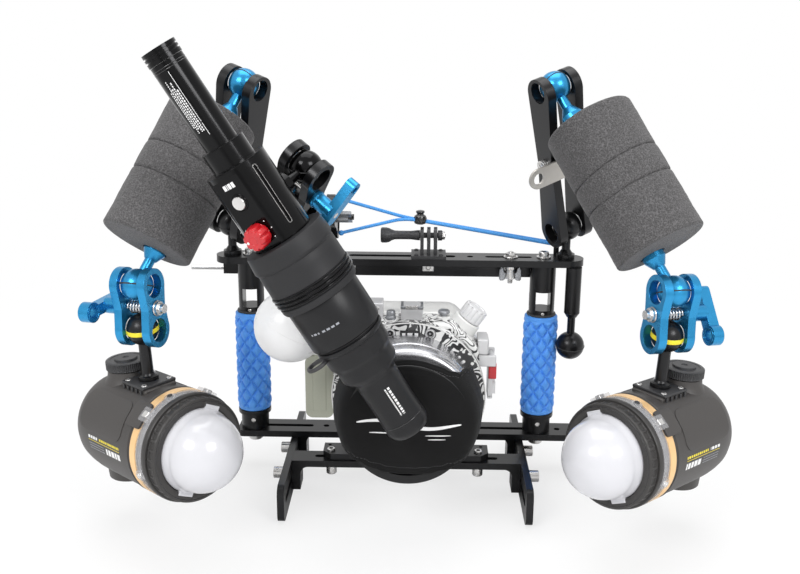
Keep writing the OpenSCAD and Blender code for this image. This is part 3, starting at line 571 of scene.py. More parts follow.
def grips():
    """Rubber sleeve with raised diamond pads between crossing grooves, a lip at each end."""
    rows, cols, length = 210, 240, 94.0
    core, bore, lip, lip_end, groove_end = 12.9, 8.02, 14.9, 3.5, 5.5
    turns, count = 1.57, 8

    def radius(a, z):
        u = count * a / (2 * pi)
        g1, g2 = [abs((u + k * turns * z / length * count / 2) % 1 - 0.5) * 2 for k in (1, -1)]
        pad = 1 - exp(-(min(1 - g1, 1 - g2) / 0.2) ** 1.6)
        r = core + 1.7 * pad + 2.6 * (0.5 * (1 - g1 * g1) * (1 - g2 * g2))
        end = min(z, length - z)
        if end < groove_end:
            t = max(0.0, min(1.0, (end - lip_end) / 2))
            r = lip * (1 - t) + r * t
        if end < 1.4:
            r -= 1.4 * (1 - end / 1.4) ** 2
        return r

    turn = [2 * pi * j / cols for j in range(cols)]
    for side, x in (("left", -HANDLE_X), ("right", HANDLE_X)):
        pl = rig(x, 0, 58)
        verts, faces = [], []
        for i in range(rows + 1):
            z = length * i / rows
            for a in turn:
                r = radius(a, z)
                verts.append(pl.at((r * cos(a), r * sin(a), z)))
        for i in range(rows):
            for j in range(cols):
                n = (j + 1) % cols
                faces.append((i * cols + j, i * cols + n, (i + 1) * cols + n, (i + 1) * cols + j))
        for z, base in ((0, 0), (length, rows * cols)):
            start = len(verts)
            verts += [pl.at((bore * cos(a), bore * sin(a), z)) for a in turn]
            for j in range(cols):
                n = (j + 1) % cols
                faces.append((base + j, base + n, start + n, start + j))
        o = mesh("grip_" + side, verts, faces, GRIP, slot="blue_rubber", angle=80,
                 replaces=("grips",) if x < 0 else ())


grips()

# ---------------------------------------------------------------- floats


def floats():
    """Foam cylinders with eased ends, two seams and a bore off their middle, round the arm."""
    radius, length, ease, seams = 36.6, 118.0, 2.4, (46.5, 68.5)
    rows, cols, n_end, off_x, off_y = 150, 180, 9, 1.6, 12.5
    quarter = [pi / 2 * i / n_end for i in range(n_end + 1)]
    faces_at = (30, 22, 15, 10.2)
    prof = [(r, 0.4) for r in reversed(faces_at)]
    prof += [(radius - ease + ease * sin(a), 0.4 + ease - ease * cos(a)) for a in quarter]
    prof += [(radius, 2.8 + (length - 5.6) * i / rows) for i in range(1, rows)]
    prof += [(radius - ease + ease * cos(a), length - 2.8 + ease * sin(a)) for a in quarter]
    prof += [(r, length - 0.4) for r in faces_at] + [(9.9, length - 3), (9.9, length / 2), (9.9, 3)]
    for t, s in SIDES:
        start = ((foot(s) - LONG_TOP).length - length) / 2 + 5.5
        pl = arm_place(s).shift((-off_x, -off_y, start))
        verts = []
        for j in range(cols):
            a = 2 * pi * j / cols
            for r, z in prof:
                rr = r
                if r > 12:
                    p = Vector((cos(a) * r / 30, sin(a) * r / 30, z / 30))
                    rr += 0.45 * noise.noise(p * 1.3) + 0.16 * noise.noise(p * 7)
                if r > radius - 0.5:
                    for q, seam in enumerate(seams):
                        d = abs(z - seam - 2.2 * sin(a + 1.2 + q))
                        rr -= 1.5 * exp(-(d / 0.55) ** 2) + 0.35 * exp(-(d / 2.2) ** 2)
                x, y = rr * cos(a), rr * sin(a)
                if r < 31:
                    inward = (31 - r) / 21.1
                    x += off_x * inward
                    y += off_y * inward
                verts.append(pl.at((x, y, z)))
        o = mesh("foam_float_" + t, verts, wrap_faces(cols, len(prof), ring_too=True), FOAM, "float_arm_" + t,
                 slot="foam", angle=50, replaces=("float_" + t,))


floats()

# ---------------------------------------------------------------- lens cover
# Profile of the cap from its middle out and back: radius and distance in front of the wall plane
COVER = [(0, 153.3), (10, 153.2), (22, 152.9), (34, 152.4), (44, 151.6), (49, 150.1), (52.4, 147.2), (55, 143),
         (57.5, 136), (60.3, 122), (61.6, 111), (61.2, 101), (59.4, 94), (58.2, 92)]
# How far the cap reaches along that profile at each angle, in millimetres: the hem's wavy line
HEM = [(-180, 112), (-172, 111), (-165, 98), (-158, 72), (-150, 56), (-138, 47.5), (-122, 42.5), (-105, 39.8),
       (-90, 39), (-75, 40.3), (-60, 43.5), (-46, 48.5), (-36, 56), (-29, 74), (-22, 100), (-14, 111), (0, 112),
       (22, 111), (31, 104), (38, 82), (45, 63), (55, 57.5), (70, 56), (90, 56), (110, 56), (125, 57.5),
       (135, 63), (142, 82), (149, 104), (158, 111), (180, 112)]


def table(rows, x):
    """Eased value between the rows of (place, value)."""
    for (a, p), (b, q) in zip(rows, rows[1:]):
        if a <= x <= b:
            t = (x - a) / (b - a)
            t = t * t * (3 - 2 * t)
            return p + (q - p) * t
    return rows[-1][1]


STEPS = [0.0]
for (r_a, z_a), (r_b, z_b) in zip(COVER, COVER[1:]):
    STEPS.append(STEPS[-1] + hypot(r_b - r_a, z_b - z_a))


def cover_point(a, s, lift=0.0):
    """Point on the cap at angle a, s millimetres from its middle along the profile, lift off its face."""
    s = min(s, STEPS[-1] - 1e-6)
    k = max(i for i in range(len(STEPS) - 1) if STEPS[i] <= s)
    (r0, z0), (r1, z1) = COVER[k], COVER[k + 1]
    t = (s - STEPS[k]) / (STEPS[k + 1] - STEPS[k])
    r, z = r0 + (r1 - r0) * t, z0 + (z1 - z0) * t
    n = Vector((z0 - z1, r1 - r0)).normalized()
    ca, sa = cos(radians(a)), sin(radians(a))
    soft = [depth * noise.noise(Vector((ca * r / size, sa * r / size, z / size)))
            for depth, size in ((0.55, 24), (0.2, 8))]
    lift += sum(soft) * min(1.0, r / 20)
    # pulled in a little between its two side lugs, as stretched cloth is
    lift -= 1.1 * max(0.0, sin(radians(a))) ** 2 * exp(-((s - 50) / 9) ** 2)
    r, z = r + n.x * lift, z + n.y * lift
    return PORT.at((r * ca, r * sa, z))


def lens_cover():
    """Neoprene cap in one shell, with a bound hem, a line of stitches and a soft panel edge."""
    cols, rows, thick, seam = 240, 46, 2.9, 4.6
    verts, faces = [], []
    for lift in (0.0, -thick):
        for j in range(cols):
            a = -180 + 360 * j / cols
            reach = table(HEM, a)
            for i in range(rows + 1):
                s = 0.02 + (reach - 0.02) * i / rows
                off = lift
                if lift == 0.0:
                    off -= 0.7 * exp(-((reach - s - seam) / 0.55) ** 2)
                    off -= 0.25 * exp(-((reach - s - 9.5) / 0.5) ** 2)
                verts.append(cover_point(a, s, off))
    m = rows + 1
    half = cols * m
    for j in range(cols):
        n = (j + 1) % cols
        for i in range(rows):
            faces.append((j * m + i, n * m + i, n * m + i + 1, j * m + i + 1))
            faces.append((half + j * m + i, half + j * m + i + 1, half + n * m + i + 1, half + n * m + i))
        faces.append((j * m + rows, n * m + rows, half + n * m + rows, half + j * m + rows))
    o = mesh("lens_cap", verts, faces, NEOPRENE, slot="black_rubber", angle=70, replaces=("lens_cover",))
    hem = [cover_point(a, table(HEM, a) - 0.2, -1.2) for a in range(-180, 180)]
    tube("lens_cap_hem", hem, 1.55, NEOPRENE, seg=16, closed=True)
    pairs = []
    for j in range(150):
        a = -180 + 360 * (j + 0.5) / 150
        pairs.append([cover_point(b, table(HEM, b) - seam, -0.25) for b in (a - 0.55, a + 0.55)])
    stitches("lens_cap_stitches", pairs, 0.32, THREAD)


def stitches(name, pairs, r, mat):
    """All the stitches of one seam as one mesh of short round ends."""
    sides = 6
    verts, faces = [], []
    for p, q in pairs:
        d = (q - p).normalized()
        u = d.orthogonal().normalized()
        w = d.cross(u)
        base = len(verts)
        for t, k in ((-0.1, 0.45), (0.12, 1.0), (0.88, 1.0), (1.1, 0.45)):
            for i in range(sides):
                an = 2 * pi / sides * i
                verts.append(p.lerp(q, t) + (u * cos(an) + w * sin(an)) * r * k / 1000)
        for low in range(base, base + 3 * sides, sides):
            for i in range(sides):
                n = (i + 1) % sides
                faces.append((low + i, low + n, low + sides + n, low + sides + i))
        faces += [tuple(range(k, k + sides)) for k in (base, base + 3 * sides)]
    return mesh(name, verts, faces, mat)


lens_cover()

# ---------------------------------------------------------------- strobes


def patch(name, pl, x0, x1, a0, a1, r, thick, mat, body, nx=8, na=12, round_by=0.0, **k):
    """Thin raised patch on a cylinder about the place's X: angles from +Y towards +Z, corners rounded."""
    verts = []
    for rr in (r - 0.2, r + thick):
        for i in range(nx + 1):
            for j in range(na + 1):
                u, v = i / nx, j / na
                x, a = x0 + (x1 - x0) * u, a0 + (a1 - a0) * v
                dx = min(u, 1 - u) * abs(x1 - x0)
                da = min(v, 1 - v) * r * radians(abs(a1 - a0))
                q = Vector((round_by - dx, round_by - da))
                if dx < round_by and da < round_by and q.length > round_by:
                    q = q * (round_by / q.length)
                    x = (x0 if u < 0.5 else x1) + (round_by - q.x) * (1 if (x1 > x0) == (u < 0.5) else -1)
                    a = ((a0 if v < 0.5 else a1)
                         + degrees((round_by - q.y) / r) * (1 if (a1 > a0) == (v < 0.5) else -1))
                top = rr - min(0.12, thick / 2) if rr > r and min(u, 1 - u, v, 1 - v) == 0 else rr
                verts.append(pl.at((x, *polar(top, a))))

    def at(lay, i, j):
        return (lay * (nx + 1) + i) * (na + 1) + j

    faces = [(at(lay, i, j), at(lay, i + 1, j), at(lay, i + 1, j + 1), at(lay, i, j + 1))
             for lay in (0, 1) for i in range(nx) for j in range(na)]
    faces += [(at(0, i, j), at(0, i + 1, j), at(1, i + 1, j), at(1, i, j)) for i in range(nx) for j in (0, na)]
    faces += [(at(0, i, j), at(0, i, j + 1), at(1, i, j + 1), at(1, i, j)) for j in range(na) for i in (0, nx)]
    return mesh(name, verts, faces, mat, body, **k)


def dashes(name, pl, r, rows, mat, body):
    """Rows of printed dashes on a cylinder about the place's Z: angle, from, to, height, step."""
    verts, faces = [], []
    for a, z0, z1, h, step in rows:
        da = degrees(h / 2 / r)
        z = z0
        while z < z1 - 0.2:
            e = min(z + step * random.uniform(0.45, 1.0), z1)
            base = len(verts)
            for zz in (z, e):
                verts += [pl.at((*polar(r, b), zz)) for b in (a - da, a, a + da)]
            faces += [(base, base + 3, base + 4, base + 1), (base + 1, base + 4, base + 5, base + 2)]
            z = e + min(step * 0.35, 1.0)
    return mesh(name, verts, faces, mat, body, smooth=False)


def strobes():
    def rim(a, r, z):
        return r - 0.9 if r > 41.3 and 53 < z < 57.6 and (a * 36 / 360) % 1 < 0.72 else r

    def knurl(a, r, z):
        return r - (0.6 if r > 16.2 and 0.8 < z < 6.4 and (a / 6.0) % 1 < 0.35 else 0)

    for t, s in SIDES:
        def n(name):
            return name + "_" + t

        body = n("strobe")
        print_r = 42.56
        pl = strobe_place(s)
        ax = pl.along_x()
        # shell
        prof = [(0.01, -63.7), (20, -63.5), (27, -62.8), (33, -60.4), (37.4, -56), (40, -50), (41.3, -43),
                (42.1, -35), (42.4, -25), (42.5, -5), (42.5, 24), (43.2, 24.4), (43.2, 27.5), (42.4, 28),
                (42.4, 31)]
        lathe(n("shell"), ax, prof, BODY, body, seg=128, slot="black_plastic", replaces=(n("strobe_body"),))
        # gold ring with black tabs over it
        lathe(n("gold"), ax, [(42, 30.6), (43.3, 31), (43.3, 38), (42, 38.4)], GOLD, body, seg=128)
        for k, (a0, a1) in enumerate(((62, 34), (-118, -92), (150, 176))):
            patch(n("tab%d" % k), pl, 20, 38.6, a0, a1, 43.2, 2.2, BODY, body, round_by=2.5, bevel=0.3)
        # raised panels on both sides
        for name, a0, a1 in (("panel", 58, 11), ("panel_back", 188, 122)):
            patch(n(name), pl, -44, 16, a0, a1, 42.3, 0.75, BODY, body, nx=20, na=30, round_by=9)
        # rows of dashes that spell nothing
        for colour, mat, rows in (
                ("yellow", YELLOW_MARK, ((5, -14, 15, 2.0, 2.6), (1.5, -30, 15, 0.45, 60))),
                ("white", WHITE_MARK, ((5, -30, -17, 2.4, 3.4), (-5, -5, 15, 5.2, 4.4))),
                ("grey", GREY_MARK, [(a, -29, -8, 0.8, 1.3) for a in (-2, -5, -8)])):
            dashes(n("print_" + colour), ax, print_r, rows, mat, body)
        # clear collar, its inner core and clips
        lathe(n("core"), ax, [(40.5, 30), (40.8, 38), (40.8, 50), (40, 52)], BODY, body)
        lathe(n("band"), ax, [(41, 46.4), (43.1, 46.6), (43.4, 47.4), (43.4, 50.6), (42.8, 51.6), (40, 51.8)],
              RING_RUBBER, body, seg=128)
        lathe(n("collar"), ax, [(41.6, 38.4), (43.1, 38.8), (43.6, 40), (43.6, 46), (43.0, 46.6), (42.4, 46.6),
                                (42.2, 41), (41.6, 38.4)], CLEAR, body, seg=128, slot="white_diffuser")
        for k, a in enumerate((-12, 168, 78)):
            q = pl.shift((43, *polar(42.8, a))).turn_x(a).along_y()
            lathe(n("boss%d" % k), q, [(0.01, 2.6), (3.4, 2.6), (4.6, 1.8), (5.4, -0.5), (5.6, -2)], CLEAR,
                  body, seg=40)
            lathe(n("boss_pin%d" % k), q, [(0.01, 3.0), (2.0, 3.0), (2.3, 2.4), (2.3, 0)],
                  PLASTIC if k else STEEL, body, seg=28)
        for k, a in enumerate((50, -104, 128)):
            q = pl.turn_x(a).shift((0, 43.2, 0))
            block(n("clip%d" % k), q, (33, -1.2, -6), (45, 2.6, 6), CLEAR, body, bevel=1.0)
            block(n("clip_in%d" % k), q, (36, -1, -2.5), (42, 3.2, 2.5), STEEL, body)
        # black ring with a notched rim, and the dome
        lathe(n("ring"), ax, [(33.6, 50.5), (40.2, 50.8), (41.2, 51.6), (41.5, 52.8), (41.5, 53.2),
                              (41.5, 54.0), (41.5, 56.8), (41.5, 57.4), (41.3, 58.8), (40.6, 59.7), (39.4, 60),
                              (35.0, 60), (33.9, 59.4), (33.6, 58)], RING_RUBBER, body, seg=288, radial=rim,
              slot="black_plastic", replaces=(n("diffuser"),))
        ring(n("ring_line"), ax, 39.0, 0.3, GLOSS_PLASTIC, body, z=60.0, seg=96)
        # the dome's skirt shows through two gaps in the ring's face
        for k, a in enumerate((118, -62)):
            q = pl.turn_x(a)
            block(n("gap%d" % k), q, (57.4, 31.0, -7), (60.4, 36.4, 7), DOME, body, bevel=0.9)
            block(n("gap_end%d" % k), q, (58.6, 34.0, -8.6), (60.6, 38.0, -6.8), RING_RUBBER, body, bevel=0.5)
        bow = [radians(3) + (pi / 2 - radians(3)) * i / 36 for i in range(37)]
        dome = [(33.5, 50), (33.5, 58), (33.3, 60), (32.6, 62.2)]
        dome += [(31.4 * cos(a) + 0.005, 64 + 31.4 * sin(a)) for a in bow]
        lathe(n("dome"), ax, dome, DOME, body, seg=128, slot="white_diffuser")
        # shoe under the stem: ribbed block and top plate
        block(n("shoe_base"), pl, (-17, -14.5, 34), (17, 14.5, 43.2), BODY, body, bevel=1.4)
        block(n("shoe_plate"), pl, (-15, -15.5, 43.0), (15, 15.5, 45.4), PLASTIC, body, bevel=0.7)
        for k in range(5):
            x = -12 + 6 * k
            for side, y in (("a", 14.2), ("b", -16.2)):
                block(n("shoe_rib%s%d" % (side, k)), pl, (x - 1, y, 33), (x + 1, y + 2, 43), PLASTIC, body,
                      bevel=0.4)
        for k, (x, y) in enumerate(((-11.5, 11.5), (11.5, 11.5), (-11.5, -11.5), (11.5, -11.5))):
            lathe(n("shoe_screw%d" % k), pl.shift((x, y, 45.2)), [(0, 0), (2.3, 0), (2.3, 0.5), (1.8, 1.0),
                    (1.265, 1.0), (1.15, 0.9)], STEEL, body, seg=40)
        # battery neck
        q = pl.shift((-31, 0, 0))
        lathe(n("neck"), q, [(24, 30), (19, 38), (17, 41.5), (16, 44), (15.4, 48.2), (12, 48.5)], BODY, body,
              seg=72)
        # round boss below with a lighter inside
        q = pl.shift((-42, 0, 0))
        lathe(n("boss_low"), q, [(21, -20), (20.6, -36), (20.0, -47.2), (19.2, -48), (16.6, -48), (16.2, -44),
                                 (0.01, -43.6)], BODY, body, seg=72)
        lathe(n("boss_in"), q, [(15.6, -42.2), (15.2, -44), (0.01, -44)], SIDE_GREY, body, seg=64)
        # battery cap: knurled rim, raised ring, dot
        cap = pl.shift((-31, 0, 48.8))
        lathe(n("cap"), cap, [(0.01, 0), (15.6, 0), (16.5, 0.5), (16.5, 1.0), (16.5, 6.2), (16.4, 6.8),
                              (15.6, 7.4), (13.2, 7.5), (12.8, 7.1), (9.4, 7.1), (9.1, 8.3), (8.6, 8.7),
                              (2.6, 8.7), (2.3, 8.1), (0.01, 8.1)], PLASTIC, "battery_cap_" + t, seg=240,
              radial=knurl, slot="black_plastic", replaces=(n("battery_cap"),))
        # dial with two prongs at the back
        dial = "strobe_dial_" + t
        q = pl.shift((-66, 0, 10)).along_x()
        lathe(n("dial"), q, [(0.01, -5.9), (4.5, -5.9), (6.2, -5.2), (6.9, -3.5), (6.9, 1.7), (5, 1.8)],
              PLASTIC, dial, seg=48, slot="black_plastic", replaces=(n("strobe_dial"),))
        for k, y in (("a", -4), ("b", 4)):
            block(n("prong" + k), pl.shift((-66, 0, 10)), (-5.8, y - 1.3, -6.5), (-0.5, y + 1.3, 6.5), PLASTIC,
                  dial)


random.seed(6)
strobes()

# ---------------------------------------------------------------- frame bolts and nuts


def hexagon(r, start=0):
    return circle2(0, 0, r, 6, start)


def bolt(name, pl, r, h, shank, shank_r, body="rig", mat=STEEL, **k):
    """Socket screw: its head stands on the place's Z from 0 to h, its shank runs down to -shank."""
    lathe(name, pl, [(0.01, -shank), (shank_r - 0.4, -shank), (shank_r, -shank + 0.5), (shank_r, -0.01), (r, 0),
                     (r, h - 0.6), (r - 0.6, h), (r * 0.56, h), (r * 0.5, h - 0.15)], mat, body, seg=48, **k)
    # the hex socket is lined in the dark recess colour: painted shade inside it
    hole = hexagon(r * 0.52)
    v = [pl.at((x, y, h - 0.12)) for x, y in hole] + [pl.at((x * 0.9, y * 0.9, h - 1.9)) for x, y in hole]
    f = [(i, (i + 1) % 6, (i + 1) % 6 + 6, i + 6) for i in range(6)] + [tuple(range(6, 12))]
    mesh(name + "_socket", v, f, RECESS_SHADE, body, smooth=False)


def nut(name, pl, across, h, body="rig", hole=2.4, washer=0.0):
    """Hexagon nut from 0 to h along the place's Z, over a washer."""
    r = across / sqrt(3)
    plate(name, pl, [hexagon(r, 5), circle2(0, 0, hole, 24)], washer, h, STEEL, body, edge=0.45)
    if washer:
        lathe(name + "_washer", pl, [(hole, 0), (r + 1.4, 0), (r + 1.6, washer / 2), (r + 1.4, washer),
                                     (hole, washer)], STEEL, body, seg=48)


def front_and_back(pl):
    """The place with its Z pointing out of the rig: to the back, or to the front where y is negative."""
    return pl.along_y().flipped() if pl.o.y < 0 else pl.along_y()


def frame_bolts():
    for side, face in (("l", -96.5), ("r", 118.5)):
        for y in (0, 53.5):
            pl = rig(face, -y, 16.5).along_x()
            name = "leg_bolt_%s%d" % (side, y)
            first = name == "leg_bolt_l0"
            bolt(name, pl.flipped() if side == "l" else pl, 5.2, 11.5, 13.4, 2.5,
                 slot="steel" if first else None, replaces=("frame_bolts",) if first else ())
    for k, x in enumerate((-56, 75)):
        bolt("tray_bolt%d" % k, rig(x, -53.5, 39), 3.6, 2, 12, 2.15)
        lathe("tray_nut%d" % k, rig(x, -53.5, 22), [(2.2, 5), (4.4, 4.9), (4.6, 4.4), (4.6, -4.4),
                (4.1, -5), (2.4, -5), (2.2, -4.4), (0.01, -4.4)], STEEL, seg=48)
    for k, x in enumerate((-HANDLE_X, HANDLE_X)):
        top = rig(x, 0, TOP_FACE)
        lathe("handle_foot%d" % k, rig(x, 0, 29), [(0.01, -2.2), (2.6, -2.3), (2.9, -3), (5.8, -3),
                (6.4, -2.4), (6.4, 4), (2.5, 4)], STEEL, seg=48)
        bolt("handle_bolt%d" % k, top, 4.6, 5.5, 6, 2.5)
        lathe("handle_washer%d" % k, top, [(4.4, 0), (6.4, 0.1), (6.5, 0.6), (6.4, 1.1), (4.4, 1.1)], STEEL,
              seg=48)
    pl = rig(WING_X, 0, TOP_FACE)
    nut("clamp_nut", pl, 8.4, 4, washer=1.0)
    lathe("clamp_shank", pl, [(0.01, -24), (2.2, -24), (2.45, -23.4), (2.45, 4.6), (2.0, 5.2), (0.01, 5.2)],
          STEEL, seg=32)
    block("nut_block", RIG, (23.5, -5, 192.2), (33.5, 7, 199.2), STEEL, bevel=0.7)
    # dark ring round the block's hole: painted shade
    ring("nut_block_line", rig(28.5, -5.0, 195.7).along_y(), 1.9, 0.25, RECESS_SHADE, seg=32, side=8)
    lathe("rear_pin", rig(-190, 19.25, 187).along_x(), [(0.01, 0), (1.6, 0.1), (2, 0.6), (2, 31.2),
            (0.01, 31.2)], STEEL, seg=32)
    for k, x in enumerate((-HANDLE_X, HANDLE_X)):
        for j, y in enumerate((-1, 1)):
            lathe("base_pin%d%d" % (k, j), front_and_back(rig(x, y * 12.7, 48.5)),
                  [(0.01, -1.6), (1.9, -1.6), (2.05, -1.2), (2.05, -2.4), (0.01, -2.4)], STEEL, seg=28)
            lathe("head_screw%d%d" % (k, j), front_and_back(rig(x, y * 11.4, 155.2)),
                  [(0.01, 0.5), (1.1, 0.5), (1.5, 0.2), (1.6, -0.3)], STEEL, seg=24)
        # collar under the grip and a dull ring over it
        lathe("collar%d" % k, rig(x, 0, 54), [(12.8, 0), (14.6, 0.05), (15.0, 0.6), (15.1, 1.4),
                (14.6, 2.0), (15.1, 2.6), (15.05, 3.5), (14.6, 4), (13, 4.02)], BLACK_ANO)
        lathe("head_lip%d" % k, rig(x, 0, 152), [(11.5, 0), (12.9, 0.2), (13.2, 1.0), (12.9, 1.8),
                (11.55, 2.2)], RUBBER)


# ---------------------------------------------------------------- small parts on the top plate


def thumb_screw():
    pl = rig(ACTION_X, 0, 224.3).along_x()

    def lobes(a, r, z):
        if z < -33.4:
            return r * (1 - 0.075 * (0.5 + 0.5 * cos(radians(5 * a))) ** 2)
        if -31 < z < -12:
            return r * (1 - 0.05 * (0.5 + 0.5 * cos(radians(6 * a))))
        return r

    prof = [(0.01, -42.2), (3.6, -42.3), (4.4, -43), (6.3, -42.8), (7, -41.6), (7, -38), (6.4, -35.4),
            (5.0, -33.2), (4.1, -30.6), (3.9, -26), (3.9, -16), (4.3, -12), (4.6, -9.4), (4.5, -7.95),
            (2.5, -7.9), (2.5, 8), (4.4, 8.1), (4.6, 8.6), (4.6, 11.6), (4.2, 12)]
    lathe("thumb_screw", pl, prof, PLASTIC, "action_screw", seg=120, radial=lobes, slot="black_plastic",
          replaces=("action_screw",))
    nut("thumb_nut", pl.up(11.8), 6.4, 2.6, "action_screw", hole=2.2)
    lathe("thumb_end", pl, [(2.1, 11.6), (2.1, 14.4), (1.7, 14.9), (0.01, 15)], STEEL, "action_screw", seg=28)
    lathe("thumb_pin", pl, [(0.01, -42.2), (1.8, -42.25), (2, -42.0)], STEEL, "action_screw", seg=24)
    for k in range(3):
        ring("prong_ring%d" % k, pl.up(6 * k - 7.5), 4.6, 0.25, PLASTIC, seg=48, side=8)
    for k, y in enumerate((-9.5, 9.5)):
        for j, x in enumerate((-11, 11)):
            bolt("mount_screw%d%d" % (k, j), rig(ACTION_X + x, y, 208.2), 2.0, 1.1, 1, 1.0, mat=PLASTIC)


def wing():
    pl = rig(WING_X, 0, 185.2)
    nut("wing_hex", pl.up(8.6), 8.2, 4.4, "wing_nut", hole=2.7)
    lathe("wing_hub", pl, [(2.65, 0), (4.2, 0.1), (4.9, 0.8), (4.9, 3), (4.2, 5), (3.7, 8.6), (2.65, 8.6)],
          STEEL, "wing_nut", seg=48, slot="steel", replaces=("wing_nut",))
    blade = ((3.4, 0.4), (6.2, -1.6), (8.6, -1.8), (9.9, -0.4), (10, 3), (9.7, 8), (8.4, 10.6), (6.9, 10.4),
             (6.0, 8), (5.2, 5.6), (3.4, 4.6))
    for name, s in (("a", -1), ("b", 1)):
        plate("wing_blade" + name, Place(pl.o, pl.x, pl.z, -pl.y), [[(s * x, z) for x, z in blade]], -1.5, 1.5,
              GREY_METAL, "wing_nut", edge=0.6)


# Blue line: two strands tied at the plate clamp, through the lock, to a loop round the post
GATHER = Vector((13, 0, 239.2))
LINE_END = Vector((144.5, 12, 215))
RUN = unit(LINE_END - GATHER)


def blue_line():
    """Two strands, rounded where they bend at the lock, each with its knot."""
    pl = RIG.shift(LINE_END)
    ring("line_loop", pl, 4.0, 1.5, CORD, seg=48, side=12, slot="cord", replaces=("blue_line",))
    for name, k, tie in (("line_upper", 1, (-49.1, -27, 262)), ("line_lower", -1, (-49.1, -6, 227))):
        near = GATHER + Vector((0, k * 1.75, 0))
        far = near + 30 * RUN
        end = LINE_END + Vector((-2.2, k * 3.6, 0.4))
        pts = []
        for a, b in ((Vector(tie), near - 6 * RUN), (near, far), (far, end)):
            steps = max(6, int((b - a).length / 3))
            pts += [a.lerp(b, i / steps) for i in range(steps)]
        pts.append(end)
        for _ in range(3):
            inner = [(p + 2 * q + r) / 4 for p, q, r in zip(pts, pts[1:], pts[2:])]
            pts = [pts[0]] + inner + [pts[-1]]
        pts = [(p - CENTRE) / 1000 for p in pts]
        o = tube(name, pts, 1.5, CORD, seg=16)
        lathe(name + "_knot", pl.shift(pts[0] * 1000 + CENTRE - LINE_END), [(0.01, -2.5), (1.5, -2.1),
                (2.4, -0.9), (2.5, 0.4), (1.7, 1.8), (0.01, 2.5)], CORD, seg=24)


def cord_lock():
    pl = RIG.shift(GATHER + 8 * RUN - Vector((0, 0, 3.4)))
    prof = [(0.01, 0), (3.6, 0.05), (5.2, 0.9), (5.9, 3), (5.9, 5.4), (5.0, 7.6), (3.4, 8.6), (2.9, 9.3),
            (3.4, 9.9), (4.0, 10.9), (3.7, 11.9), (2.2, 12.45), (0.01, 12.5)]
    lathe("cord_lock", pl, prof, GLOSS_PLASTIC, "cord_toggle", seg=64, slot="gloss_black",
          replaces=("cord_toggle",))


frame_bolts()
thumb_screw()
wing()
blue_line()
cord_lock()

# ---------------------------------------------------------------- clamps, springs and balls


def ball_ring(name, pl, body, r=BALL_BAND, tube_r=0.4):
    ring(name, pl, r, tube_r, RUBBER, body, seg=96, side=10)


def bolt_steel(piece, pl, r=5.2, face=16.02, inside=8.9):
    """Steel for the ends of a clamp's bolt, along the place's X, and for its middle between the slabs."""
    paint(piece, STEEL, pl, lambda x, y, z: hypot(y, z) < r and (abs(x) > face or abs(x) < inside))


SHOULDER = [(2.6, 16.0), (5.2, 16.02), (5.6, 16.15), (5.2, 16.28), (2.6, 16.28)]


